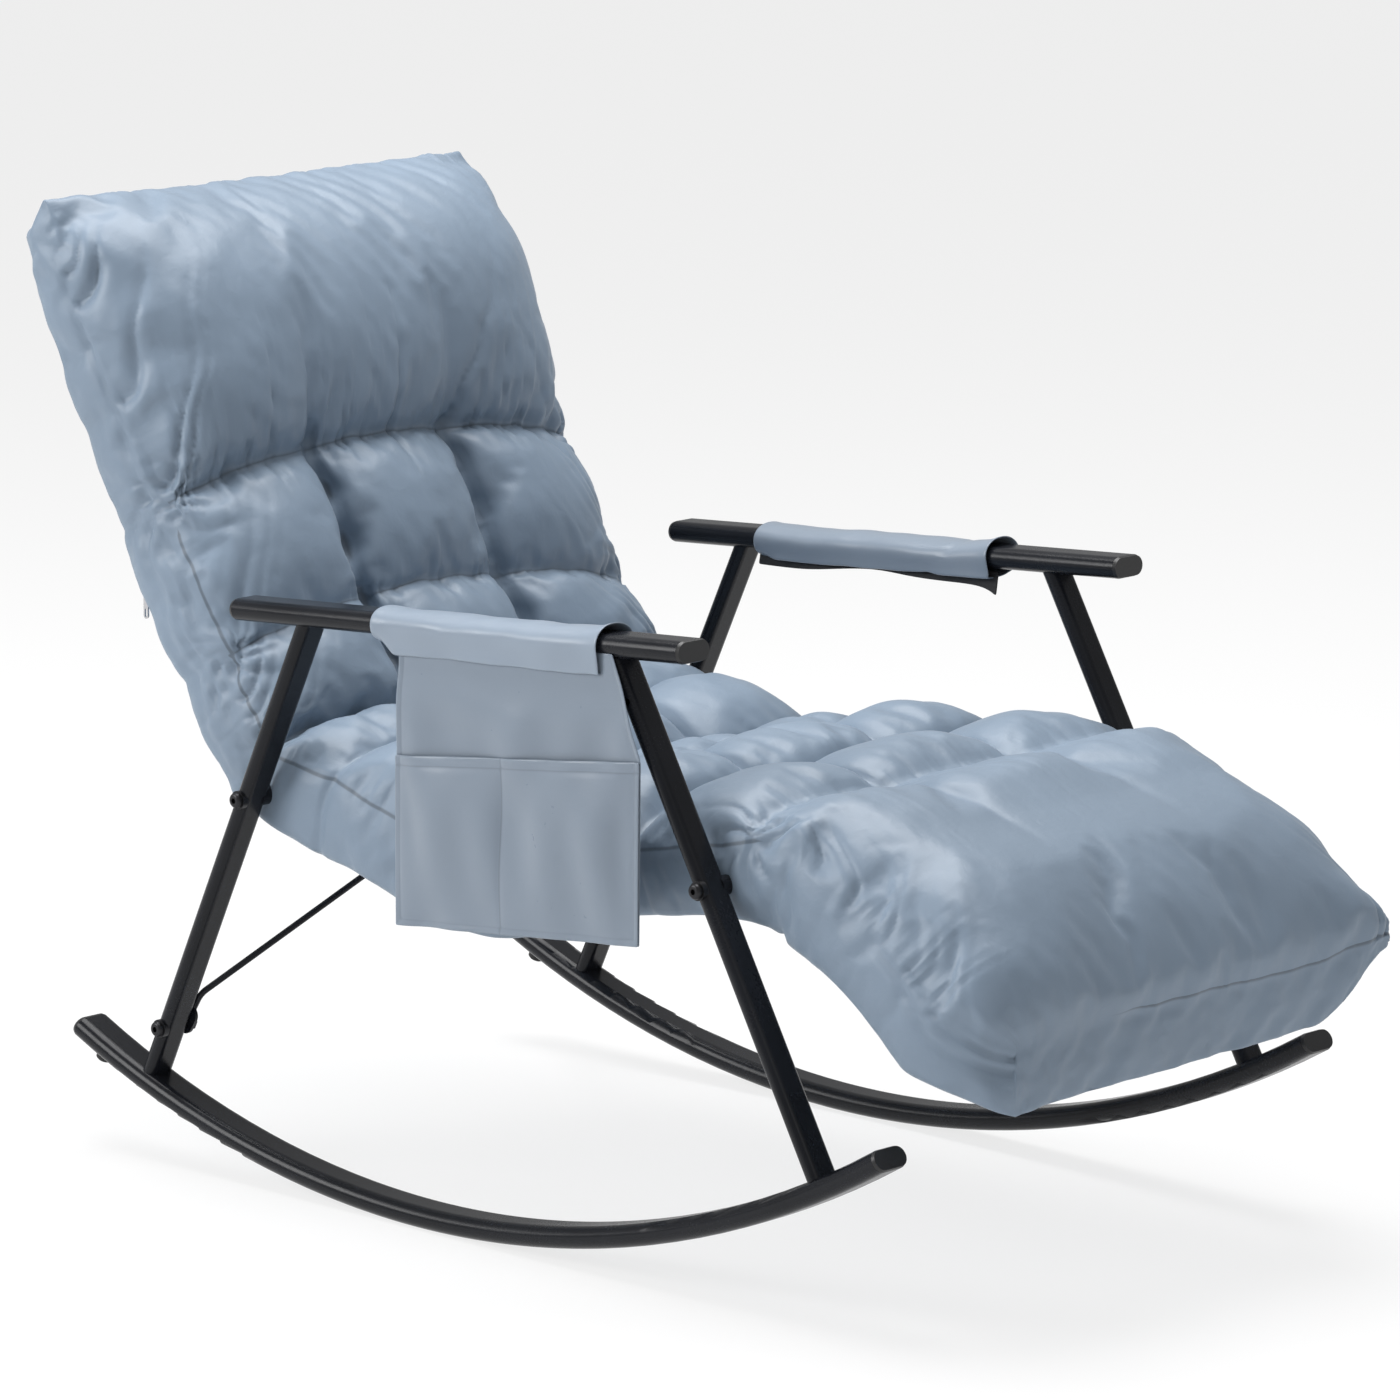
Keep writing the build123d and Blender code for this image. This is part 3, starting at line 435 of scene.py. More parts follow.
def mark(piece: Piece, name: str, values: Array) -> None:
    """Store a number on each point of a piece."""
    layer = piece.data.attributes.get(name) or piece.data.attributes.new(name, "FLOAT", "POINT")
    layer.data.foreach_set("value", np.asarray(values, np.float32).ravel())


def read_mark(piece: Piece, name: str) -> Array:
    """Return the numbers that the points of a piece carry."""
    values = np.zeros(len(piece.data.vertices), np.float32)
    piece.data.attributes[name].data.foreach_get("value", values)
    return values.astype(float)


def apply_modifier(piece: Piece, kind: str, **settings: object) -> None:
    """Add a modifier with those settings to a piece and apply it."""
    bpy.ops.object.select_all(action="DESELECT")
    bpy.context.view_layer.objects.active = piece
    piece.select_set(True)
    modifier = piece.modifiers.new(kind.lower(), kind)
    for key, value in settings.items():
        setattr(modifier, key, value)
    bpy.ops.object.modifier_apply(modifier=modifier.name)


def thicken(piece: Piece, thickness: float, offset: float) -> None:
    """Give a sheet two layers, inwards from its places at offset -1 or to both sides at 0, and round it."""
    apply_modifier(piece, "SOLIDIFY", thickness=thickness, offset=offset)
    apply_modifier(piece, "SUBSURF", levels=1, render_levels=1)


@dataclass
class MattressLine:
    """The line of the three frames in the side view, measured from the back hinge towards the feet."""

    back_hinge: Array
    leg_hinge: Array
    back_angle: float = math.radians(-61.1)
    rear_angle: float = math.radians(-15.4)
    front_angle: float = math.radians(16.35)
    leg_angle: float = math.radians(-38.0)
    valley_radius: float = 0.233
    fold_reach: float = 0.075
    knee_reach: float = 0.060

    def __post_init__(self) -> None:
        """Work out the hollow of the seat."""
        gap = self.leg_hinge - self.back_hinge
        turn = self.front_angle - self.rear_angle
        normal = np.array([-math.sin(self.front_angle), math.cos(self.front_angle)])
        rear = self.heading(self.rear_angle)
        tangent = self.valley_radius * math.tan(turn / 2)
        self.rear_length = float(gap @ normal / (rear @ normal)) - tangent
        self.arc_length = self.valley_radius * turn
        corner = self.back_hinge + (self.rear_length + tangent) * rear
        front = float(np.linalg.norm(self.leg_hinge - corner)) - tangent
        self.seat_length = self.rear_length + self.arc_length + front

    @staticmethod
    def heading(angle: object) -> Array:
        """Return the unit vectors of angles, in x and z."""
        return np.stack([np.cos(angle), np.sin(angle)], -1)

    def angle(self, distance: Array) -> Array:
        """Return the slope of the sections, which fan out over the fold and the knee."""
        fold = smooth((distance + self.fold_reach) / (2 * self.fold_reach))
        hollow = np.clip((distance - self.rear_length) / self.arc_length, 0, 1)
        knee = smooth((distance - self.seat_length + self.knee_reach) / (2 * self.knee_reach))
        turned = self.back_angle + (self.rear_angle - self.back_angle) * fold
        turned = turned + (self.front_angle - self.rear_angle) * hollow
        return turned + (self.leg_angle - self.front_angle) * knee

    def base(self, distance: Array) -> Array:
        """Return the points of the line itself at distances along it."""
        inside = np.clip(distance, 0, self.seat_length)
        rear = np.minimum(inside, self.rear_length)
        bend = np.clip(inside - self.rear_length, 0, self.arc_length) / self.valley_radius
        front = np.clip(inside - self.rear_length - self.arc_length, 0, None)
        start = self.heading(self.rear_angle)
        side = self.heading(self.rear_angle + math.pi / 2)
        points = self.back_hinge + np.minimum(distance, 0)[..., None] * self.heading(self.back_angle)
        points = points + rear[..., None] * start
        arc = np.sin(bend)[..., None] * start + (1 - np.cos(bend))[..., None] * side
        points = points + self.valley_radius * arc
        points = points + front[..., None] * self.heading(self.front_angle)
        beyond = np.maximum(distance - self.seat_length, 0)
        return points + beyond[..., None] * self.heading(self.leg_angle)

    def lift(self, distance: Array, height: Array) -> Array:
        """Return points at a height above the line, square to its sections."""
        return self.base(distance) + height[..., None] * self.heading(self.angle(distance) + math.pi / 2)


@dataclass(frozen=True)
class CrossSeam:
    """A seam across the mattress.

    Its place is along the line, edge_shift moves its ends towards the feet, tuft and valley are its heights
    at the tufts and between them, edge is the height of the side seam there and half_width its half length.
    Pleats of that depth run out of it, over a reach before and after it.
    """

    place: float
    tuft: float
    valley: float
    edge: float
    half_width: float
    edge_shift: float = 0.0
    sewn: float = 1.0
    pleat: float = 0.0012
    pleat_reach: Pair = (0.020, 0.020)


@dataclass
class Mattress:
    """The tufted mattress: one padded piece over the back hinge, one over the leg hinge.

    Places and reaches are along the line, bottoms, crests and drops are heights over it. The foot's pairs are
    for the near and the far side, and each wave of the underside is its height, place and reach.
    """

    line: MattressLine
    shop: Workshop
    tuft_offset: float = 0.088
    reference_half_width: float = 0.262
    cell: float = 0.006
    side_cells: int = 8
    under_cells: int = 12
    bulge: float = 0.006
    back_bottom: float = -0.021
    seat_bottom: float = -0.027
    side_bulge: float = 0.002
    column_drop: float = 0.034
    seams: list[CrossSeam] = field(default_factory=lambda: [
        CrossSeam(-0.567, 0.029, 0.029, 0.024, 0.270, -0.004, pleat_reach=(0.02, 0.045)),
        CrossSeam(-0.290, 0.038, 0.052, 0.028, 0.254, 0.026, pleat=0.0078, pleat_reach=(0.080, 0.026)),
        CrossSeam(-0.141, 0.040, 0.056, 0.032, 0.253, 0.030, pleat=0.0042, pleat_reach=(0.026, 0.018)),
        CrossSeam(0.000, 0.048, 0.058, 0.040, 0.256),
        CrossSeam(0.100, 0.048, 0.066, 0.044, 0.257, sewn=0.6),
        CrossSeam(0.235, 0.046, 0.068, 0.046, 0.257),
        CrossSeam(0.385, 0.044, 0.072, 0.046, 0.257, sewn=0.5),
        CrossSeam(0.516, 0.044, 0.070, 0.044, 0.257, sewn=0.5),
        CrossSeam(0.652, 0.045, 0.055, 0.032, 0.257, sewn=0.8, pleat=0.0022, pleat_reach=(0.020, 0.055)),
        CrossSeam(0.9445, 0.054, 0.054, 0.050, 0.262, pleat=0.0009, pleat_reach=(0.045, 0.020)),
    ])
    crests: tuple[float, ...] = (0.101, 0.078, 0.078, 0.081, 0.099, 0.120, 0.122, 0.090, 0.100)
    crown_edges: tuple[float, ...] = (0.135, 0.150, 0.150, 0.150, 0.140, 0.130, 0.130, 0.130, 0.105)
    columns: tuple[float, ...] = (0.0, 1.0, 1.0, 1.0, 0.9, 0.8, 0.8, 0.8, 0.0)
    row_curve: Pair = (2.3, 0.55)
    rim_curve: Pair = (2.3, 0.5)
    column_curve: Pair = (2.4, 0.45)
    column_width: float = 0.5
    column_fade: float = 5.0
    width_power: float = 1.5
    edge_pins: tuple[float, ...] = (0.5, 0.9, 1.0, 1.0, 1.0, 1.0, 1.0, 0.9, 0.55)
    side_share: float = 0.9
    split: int = 5
    end_reach: float = 0.060
    head_curve: Pair = (1.9, 0.9)
    head_tuck: float = 0.022
    head_rise: float = 0.006
    head_shift: float = -0.005
    head_reach: float = 0.2
    foot_curve: float = 2.4
    foot_roots: Pair = (1.25, 0.52)
    foot_lean: float = 1.9
    foot_tuck: float = 0.034
    foot_rise: float = 0.038
    foot_corner: float = 0.055
    foot_round: float = 0.92
    foot_cut: Pair = (1.0, 0.2)
    foot_pinch: Pair = (-0.12, 0.85)
    foot_lift: Pair = (0.0, 0.020)
    corner_share: Pair = (0.55, 0.45)
    back_swell: float = 0.028
    swell_start: float = 0.04
    swell_length: float = 0.56
    swell_lean: float = 0.8
    rear_bulge: float = 0.014
    rear_start: float = -0.02
    rear_fade: Pair = (0.10, 0.12)
    hinge_reach: float = 0.05
    under_waves: tuple[Triple, ...] = ((0.016, 0.44, 0.13), (-0.005, 0.08, 0.08))
    leg_bottom: float = -0.034
    knee_sag: float = 0.028
    knee_reach: float = 0.065
    back_blend: float = -0.045
    leg_blend: float = 0.055

    def build(self) -> None:
        """Make both padded pieces and bake their transforms."""
        upper = self.section("upper_mattress", 0, self.split)
        lower = self.section("lower_mattress", self.split, len(self.seams) - 1)
        line = self.line
        self.join(upper, line.back_angle + line.rear_angle, self.back_blend)
        self.join(lower, line.leg_angle + line.front_angle, self.leg_blend)
        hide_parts("back_cushion", "back_panel")
        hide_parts("seat_cushion", "seat_panel", "leg_cushion", "leg_panel")
        for piece in (upper, lower):
            self.shop.dress(piece, Slot.MATTRESS)
            log.info("%s: %d faces", piece.name, len(piece.data.polygons))

    def join(self, piece: Piece, angles: float, reach: float) -> None:
        """Bake the transform of a piece into its points; the step of its bend is worked out but not used.

        Args:
            piece: The piece.
            angles: Sum of the slopes before and behind the hinge.
            reach: Half the length of the bend, along the line that halves the angle.
        """
        step = reach * self.line.heading(angles / 2)
        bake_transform(piece)

    def widths(self) -> Array:
        """Return the grid places across the mattress, denser towards its edges, with a line on each tuft."""
        outer = self.reference_half_width - self.tuft_offset
        count = round(outer / self.cell)
        share = 1 - (1 - np.arange(1, count + 1) / count) ** self.width_power
        side = self.tuft_offset + outer * share
        half = round(self.tuft_offset / self.cell)
        middle = np.linspace(-self.tuft_offset, self.tuft_offset, 2 * half + 1)
        return np.concatenate([-side[::-1], middle, side])

    def section(self, name: str, first: int, last: int) -> Piece:
        """Make one padded piece.

        Args:
            name: Name of the piece.
            first: Number of the cross seam at which it starts.
            last: Number of the cross seam at which it ends.

        Returns:
            The piece, settled and smoothed.
        """
        shell = QuiltShell(self, first, last)
        piece = mesh_piece(name, shell.points(), shell.faces)
        shell.settle(piece)
        shell.mark_seams(piece)
        apply_modifier(piece, "SUBSURF", levels=1, render_levels=1)
        Gathers(self, first, last).lay(piece)
        return piece


class QuiltShell:
    """The closed grid of one padded piece: top, underside, two side bands and two ends."""

    COLUMN_ROWS = (1, 2)
    COLUMN_PIN = 0.7
    FOOT_PIN = 0.6
    LEAST_WEIGHT = 0.01
    UNEVENNESS = 0.0012
    SEAM_FADE = 0.03
    SEAM_HIDE = 0.02
    END_FADE = 0.004

    def __init__(self, pad: Mattress, first: int, last: int) -> None:
        """Lay out the stations along the mattress and number the grid."""
        self.pad = pad
        self.seams = pad.seams
        self.first, self.last = first, last
        place, row, share, seam_lines = [], [], [], []
        for number in range(first, last):
            start, end = self.seams[number].place, self.seams[number + 1].place
            count = max(round((end - start) / pad.cell), 4)
            steps = np.arange(count + (number == last - 1))
            seam_lines.append(len(place))
            place.extend(start + (end - start) * steps / count)
            row.extend([number] * len(steps))
            share.extend(2 * steps / count - 1)
        seam_lines.append(len(place) - 1)
        self.place, self.row, self.share = np.array(place), np.array(row), np.array(share)
        self.seam_lines = seam_lines
        self.across = pad.widths()
        self.out = self.across / pad.reference_half_width
        self.rows, self.cols, self.high = len(place), len(self.across), pad.side_cells + 1
        self.number_grid()

    def number_grid(self) -> None:
        """Give each point of the shell its number and list its faces."""
        rows, cols, high = self.rows, self.cols, self.high
        self.ids = -np.ones((rows, cols, high), int)
        border = np.zeros((rows, cols, high), bool)
        stops = np.linspace(0, cols - 1, self.pad.under_cells + 1).astype(int)
        border[[0, -1]] = border[:, [0, -1]] = border[:, :, -1] = border[:, stops, 0] = True
        self.ids[border] = np.arange(border.sum())
        sides = [self.ids[:, 0], self.ids[:, -1, ::-1], self.ids[-1], self.ids[0, :, ::-1]]
        self.faces = []
        for sheet in [self.ids[:, :, -1], *sides]:
            self.faces.extend(quads(sheet))
        under = self.ids[:, :, 0]
        for start, end in zip(stops[:-1], stops[1:]):
            self.faces.append([under[0, end], under[1, end], under[1, start], *under[0, start:end]])
            self.faces.append([under[-2, end], *under[-1, start:end + 1][::-1], under[-2, start]])
            for row in range(1, rows - 2):
                rear, front = under[row], under[row + 1]
                self.faces.append([rear[end], front[end], front[start], rear[start]])

    def listed(self, values: Array) -> Array:
        """Return grid values in the order of the points' numbers."""
        return values[self.ids >= 0][np.argsort(self.ids[self.ids >= 0])]

    def between(self, name: str) -> Array:
        """Return a value of the cross seams, blended along each row."""
        start = np.array([getattr(self.seams[number], name) for number in self.row])
        end = np.array([getattr(self.seams[number + 1], name) for number in self.row])
        return start + (end - start) * smooth((self.share + 1) / 2)

    def arch(self) -> Array:
        """Return the crown of each row, 0 on its seams and 1 at its middle."""
        pad = self.pad
        arch = dome(self.share, *pad.row_curve)
        head = (self.row == 0) & (self.share < 0)
        arch[head] = dome(self.share[head], *pad.head_curve)
        foot = self.row == len(self.seams) - 2
        shifted = 2 * ((self.share[foot] + 1) / 2) ** pad.foot_lean - 1
        arch[foot] = dome(shifted, pad.foot_curve, np.where(shifted < 0, *pad.foot_roots))
        return arch

    def points(self) -> Array:
        """Return the places of all grid points."""
        pad = self.pad
        arch = self.arch()
        edge = self.between("edge")
        half = self.between("half_width") + pad.bulge * arch
        scale = half / pad.reference_half_width
        into = pad.foot_round * np.clip((self.place - pad.seams[-1].place) / pad.foot_corner + 1, 0, 1)
        cut = pad.foot_corner * (1 - np.sqrt(1 - into ** 2)) / half
        outer = np.abs(self.out) ** 4 * np.where(self.out < 0, *pad.foot_cut)
        y = self.across[None, :] * scale[:, None] * (1 - cut[:, None] * outer[None, :])
        rise = self.crown(arch, y / scale[:, None]) - edge[:, None]
        inside = half[:, None] * (1 - np.abs(self.out)[None, :])
        rim = np.clip(inside / np.array(pad.crown_edges)[self.row][:, None], 0, 1)
        top = edge[:, None] + np.maximum(rise, 0) * dome(1 - rim, *pad.rim_curve)
        shift = self.between("edge_shift")[:, None] * self.out[None, :] ** 2
        distance = np.repeat(self.place[:, None], self.cols, 1) + shift
        foot = smooth((distance - pad.seams[-1].place) / pad.end_reach + 1)
        start, reach = pad.corner_share
        corner = smooth((np.abs(self.out) - start) / reach)[None, :] * foot
        top = top + np.where(self.out < 0, *pad.foot_lift)[None, :] * corner
        upper = pad.line.lift(distance, top)
        under = self.underside(distance)
        pinch = np.where(self.out < 0, *pad.foot_pinch)[None, :] * corner ** 2
        under = under + (upper - under) * pinch[..., None]
        sides = np.sign(y) * (np.abs(self.out) > pad.side_share)[None, :]
        places = np.zeros((self.rows, self.cols, self.high, 3))
        for level in range(self.high):
            part = level / (self.high - 1)
            flat = under + (upper - under) * part
            places[:, :, level, 0], places[:, :, level, 2] = flat[..., 0], flat[..., 1]
            places[:, :, level, 1] = y + pad.side_bulge * math.sin(math.pi * part) * sides
        places[..., 1] += pad.head_shift * smooth(-self.place / pad.head_reach)[:, None, None]
        return self.listed(places)

    def crown(self, arch: Array, y: Array) -> Array:
        """Return the height of the top over the line, before it falls to the side seams.

        Args:
            arch: Crown of each row from 0 to 1.
            y: Places across.

        Returns:
            Heights by station and place across.
        """
        pad = self.pad
        inner = np.clip(np.abs(y) / pad.tuft_offset, 0, 1)
        width = pad.column_width * (pad.reference_half_width - pad.tuft_offset)
        outer = np.clip((np.abs(y) - pad.tuft_offset) / width, 0, 1)
        crowns = [dome(share, *pad.column_curve) for share in (inner, 1 - outer)]
        column = np.where(np.abs(y) <= pad.tuft_offset, *crowns)
        tufted = np.array(pad.columns)[self.row]
        tufted = np.where(self.row == 0, np.exp((self.share - 1) * pad.column_fade), tufted)
        foot = self.row == len(self.seams) - 2
        tufted = np.where(foot, np.exp(-(self.share + 1) * pad.column_fade), tufted)
        crest = np.array(pad.crests)[self.row][:, None]
        tuft, valley = self.between("tuft")[:, None], self.between("valley")[:, None]
        low = tuft + (valley - tuft) * column
        high = crest - pad.column_drop * tufted[:, None] * (1 - column)
        return low + (high - low) * arch[:, None]

    def underside(self, distance: Array) -> Array:
        """Return the places of the underside, tucked in at the head and turned up at the foot."""
        pad = self.pad
        line = pad.line
        head = 1 - smooth((distance - pad.seams[0].place) / pad.end_reach)
        foot = smooth((distance - pad.seams[-1].place) / pad.end_reach + 1)
        seat = smooth((distance + pad.hinge_reach) / (2 * pad.hinge_reach))
        leg = smooth((distance - line.seat_length + pad.hinge_reach) / (2 * pad.hinge_reach))
        height = pad.back_bottom + (pad.seat_bottom - pad.back_bottom) * seat
        height = height + (pad.leg_bottom - pad.seat_bottom) * leg
        height = height + pad.foot_rise * foot + pad.head_rise * head
        for size, place, reach in pad.under_waves:
            height = height + size * bell(distance, place, reach)
        swell = np.clip(pad.swell_start - distance / pad.swell_length, 0, 1) ** pad.swell_lean
        height = height - pad.back_swell * np.sin(math.pi * swell)
        rear = smooth((pad.rear_start - distance) / pad.rear_fade[0])
        rear = rear * smooth((distance - pad.seams[0].place) / pad.rear_fade[1])
        height = height - pad.rear_bulge * rear * (1 - self.out[None, :] ** 2)
        height = height - pad.knee_sag * bell(distance, line.seat_length, pad.knee_reach)
        return line.lift(distance + pad.foot_tuck * foot + pad.head_tuck * head, height)

    def pins(self) -> Array:
        """Return how firmly each point is sewn down, from 0 to 1."""
        pin = np.zeros(self.ids.shape)
        pin[:, :, 0] = 1.0
        pin[:, [0, -1], -1] = np.array(self.pad.edge_pins)[self.row][:, None]
        pin[[0, -1], :, -1] = 1.0
        tufts = [int(np.argmin(np.abs(self.across - sign * self.pad.tuft_offset))) for sign in (-1, 1)]
        for number, station in enumerate(self.seam_lines):
            seam = self.seams[self.first + number]
            pin[station, :, -1] = np.maximum(pin[station, :, -1], seam.sewn)
            for tuft in tufts:
                pin[max(station - 1, 0):station + 2, tuft - 1:tuft + 2, -1] = 1.0
        for station in range(self.rows):
            if self.row[station] in self.COLUMN_ROWS:
                for tuft in tufts:
                    pin[station, tuft, -1] = max(pin[station, tuft, -1], self.COLUMN_PIN)
        if self.last < len(self.seams) - 1:
            pin[-1] = 1.0
        else:
            pin[-1, :, 1:-1] = self.FOOT_PIN
        if self.first > 0:
            pin[0] = 1.0
        return self.listed(pin)

    def settle(self, piece: Piece) -> None:
        """Fill the cover by a cloth simulation with some spare cloth, and hold each point near its start."""
        start = read_points(piece.data)
        group = piece.vertex_groups.new(name="sewn")
        weights = self.pins()
        for vertex in np.flatnonzero(weights > self.LEAST_WEIGHT):
            group.add([int(vertex)], float(weights[vertex]), "REPLACE")
        piece.data.vertices.foreach_set("co", (start + ripples(start, self.UNEVENNESS)).ravel())
        cloth = piece.modifiers.new("filling", "CLOTH")
        for key, value in FILLING.items():
            setattr(cloth.settings, key, value)
        cloth.settings.effector_weights.gravity = 0.0
        cloth.point_cache.frame_end = CLOTH_FRAMES
        scene = bpy.context.scene
        for step in range(1, CLOTH_FRAMES + 1):
            scene.frame_set(step)
        shown = piece.evaluated_get(bpy.context.evaluated_depsgraph_get())
        ended = read_points(shown.data)
        piece.modifiers.remove(cloth)
        moved = ended - start
        length = np.linalg.norm(moved, axis=1, keepdims=True)
        log.info("%s settled by up to %.1f mm", piece.name, 1000 * float(length.max()))
        held = start + moved * np.minimum(1.0, CLOTH_CAP / np.maximum(length, 1e-9))
        piece.data.vertices.foreach_set("co", held.ravel())
        scene.frame_set(1)

    def mark_seams(self, piece: Piece) -> None:
        """Store on each point how far it lies from the side seams of the cover."""
        places = read_points(piece.data)
        gap = np.full(len(places), 1.0)
        head = smooth((self.seams[1].place + self.SEAM_FADE - self.place) / self.SEAM_FADE)
        leg = smooth((self.place - self.seams[-2].place) / self.SEAM_FADE)
        hidden = self.SEAM_HIDE * (head + leg)[:, None]
        top = self.ids[:, :, -1]
        for sheet in (top, self.ids[:, 0], self.ids[:, -1]):
            ahead = walked(places[sheet])
            nearest = ahead[:, -1:] - ahead
            if sheet is top:
                nearest = np.minimum(ahead, nearest)
            np.minimum.at(gap, sheet.ravel(), (nearest + hidden).ravel())
        band = self.ids[-1]
        down = walked(places[band][:, ::-1])[:, ::-1]
        faded = self.END_FADE * smooth(-(self.across + 0.05) / 0.12)
        np.minimum.at(gap, band.ravel(), (down + faded[:, None]).ravel())
        mark(piece, "seam_and_shade_gap", gap)
        across = np.broadcast_to(self.across[None, :, None], self.ids.shape)
        along = np.broadcast_to(self.place[:, None, None], self.ids.shape)
        level = np.broadcast_to(np.linspace(0, 1, self.high)[None, None, :], self.ids.shape)
        for name, values in (("along", along), ("across", across), ("level", level)):
            mark(piece, name, self.listed(values))


@dataclass
class Gathers:
    """The fine folds of the cover, laid on a settled piece along its normals."""

    pad: Mattress
    first: int
    last: int
    pitch: float = 0.0145
    tuft_folds: int = 11
    tuft_depth: float = 0.0034
    tuft_reach: float = 0.024
    edge_depth: float = 0.0018
    edge_reach: float = 0.020
    drape_depth: float = 0.0085
    drape_pitch: float = 0.024
    drape_reach: Pair = (0.034, 0.060)
    band_height: float = 0.075
    star_sizes: tuple[float, ...] = (0.0, 0.0075, 0.0060, 0.0040, 0.0, 0.0, 0.0, 0.0, 0.0080, 0.0)
    star_reach: float = 0.045
    column_depth: float = 0.0170
    column_reach: float = 0.0050
    column_wander: float = 0.0025
    rise_depth: float = 0.0130
    rise_reach: float = 0.055
    rise_width: float = 0.005
    rise_leans: Pair = (0.08, -0.55)
    skew: float = 0.12
    far_phase: float = 0.41
    drape_leans: Pair = (0.55, 0.14)
    leg_share: float = 0.6
    star_edge: float = 0.06
    top_level: float = 0.8
    top_blend: float = 0.15

    @staticmethod
    def creases(place: Array, pitch: float, seed: int) -> Array:
        """Return uneven creases along a line, 1 on a crease and 0 between.

        Args:
            place: Places along the line in metres.
            pitch: Usual distance from crease to crease.
            seed: Start of the random draws.

        Returns:
            The depth of the creases at those places.
        """
        draws = np.random.default_rng(seed)
        phase = math.pi * place / pitch
        strength = np.zeros_like(place)
        for length in (2.3, 4.1, 7.3):
            turn = math.tau * place / (pitch * length)
            phase = phase + 0.9 * np.sin(turn + draws.uniform(0, math.tau))
            strength = strength + np.sin(turn / 1.7 + draws.uniform(0, math.tau))
        return (1 - np.abs(np.sin(phase))) ** 1.6 * np.clip(0.55 + 0.3 * strength, 0.05, 1.2)

    def lay(self, piece: Piece) -> None:
        """Move the points of a piece into its folds."""
        names = ("along", "across", "level", "seam_and_shade_gap")
        along, across, level, gap = [read_mark(piece, name) for name in names]
        top = smooth((level - self.top_level) / self.top_blend)
        depth = top * self.over_seams(along, across) + self.over_edges(along, across, level, top)
        moved = read_points(piece.data) - depth[:, None] * read_points(piece.data, "normal")
        piece.data.vertices.foreach_set("co", moved.ravel())
        # painted shade: dark lines along the back's two cross seams and two columns, in their creases
        line = np.where(top > 0.5, self.seam_crease_shade_gap(along, across), 1.0)
        mark(piece, "seam_and_shade_gap", np.minimum(gap, line))

    def over_seams(self, along: Array, across: Array) -> Array:
        """Return the depth of the folds beside the cross seams, the tufts and the columns of the back."""
        depth = np.zeros_like(along)
        for number in range(self.first, self.last + 1):
            seam = self.pad.seams[number]
            past = along - seam.place
            reach = np.where(past < 0, *seam.pleat_reach)
            skewed = across + self.skew * past
            reach = reach * (0.75 + 0.45 * np.sin(across * 61 + number) * np.sin(across * 23 + 2))
            depth += seam.pleat * np.exp(-np.abs(past) / reach) * self.creases(skewed, self.pitch, number)
            if 0 < number < len(self.pad.seams) - 1:
                for sign in (-1, 1):
                    depth += self.round_tuft(past, across - sign * self.pad.tuft_offset, number + 20 * sign)
            if number == 1:
                depth += self.rising(past, across)
        upper, lower = self.pad.seams[1].place, self.pad.seams[3].place
        rows = smooth((along - upper) / 0.02) * smooth((lower - along) / 0.02)
        column = np.exp(-self.column_gap(along, across) / self.column_reach)
        return depth + self.column_depth * rows * column

    def rising(self, past: Array, across: Array) -> Array:
        """Return the depth of the long creases that rise from the two upper tufts into the head pillow."""
        depth = np.zeros_like(past)
        for sign, lean in zip((-1, 1), self.rise_leans):
            beside = across - sign * self.pad.tuft_offset - lean * past + 0.002 * np.sin(past * 140)
            depth = depth + self.rise_depth * np.exp(-np.abs(beside) / self.rise_width)
        return np.where(past < 0, depth * np.exp(past / self.rise_reach), 0.0)

    def column_gap(self, along: Array, across: Array) -> Array:
        """Return the distance from the two sewn columns of the back, which wander a little."""
        wander = self.column_wander * np.sin(along * 110 + 2 * np.sign(across))
        return np.abs(np.abs(across) - self.pad.tuft_offset + wander)

    def round_tuft(self, past: Array, beside: Array, seed: int) -> Array:
        """Return the depth of the folds that run out from one tuft."""
        distance = np.hypot(past, beside)
        turn = np.arctan2(beside, past) + 0.35 * np.sin(seed + 60 * distance)
        rays = (1 - np.abs(np.sin(0.5 * self.tuft_folds * turn + seed))) ** 1.5
        uneven = 0.6 + 0.4 * np.sin(2.0 * turn + 1.7 * seed)
        fade = np.exp(-distance / self.tuft_reach) * smooth(distance / 0.012)
        return self.tuft_depth * uneven * rays * fade

    def over_edges(self, along: Array, across: Array, level: Array, upper: Array) -> Array:
        """Return the depth of the folds along the side seams.

        Args:
            along: Places along the mattress.
            across: Places across it.
            level: Shares of the height, 0 on the underside and 1 on the top.
            upper: Whether a point belongs to the top, from 0 to 1; the rest is side band.

        Returns:
            The depth of each point.
        """
        side = np.abs(across) / self.pad.reference_half_width
        other = np.where(across < 0, 0.0, self.far_phase)
        beside = (1 - side) * self.pad.reference_half_width
        band = smooth((side - 0.985) / 0.01) * smooth(level / 0.2) * (1 - upper)
        over = np.where(upper > 0.5, beside, (level - 1) * self.band_height)
        back = smooth(-along / 0.06)
        leg = smooth((along - self.pad.line.seat_length + 0.03) / 0.06)
        fade = np.exp(-np.abs(over) / np.where(upper > 0.5, *self.drape_reach)) * np.maximum(upper, band)
        fade = fade * smooth((along - self.pad.seams[0].place - 0.01) / 0.08)
        lean = np.where(upper > 0.5, *self.drape_leans)
        bent = 0.006 * np.sin(along * 23) + 0.003 * np.sin(along * 71 + 1)
        drape = self.creases(over + lean * along + bent + other, self.drape_pitch, 31)
        drape = drape * (back + self.leg_share * leg)
        fine = self.creases(along + other, self.pitch, 37) * np.exp(-beside / self.edge_reach) * upper
        depth = self.drape_depth * drape * fade + self.edge_depth * fine * (1 - 0.7 * back)
        for number in range(max(self.first, 1), min(self.last, len(self.pad.seams) - 2) + 1):
            size = self.star_sizes[number]
            if size:
                star = self.star(along - self.pad.seams[number].place, over, number + 3 * (across > 0))
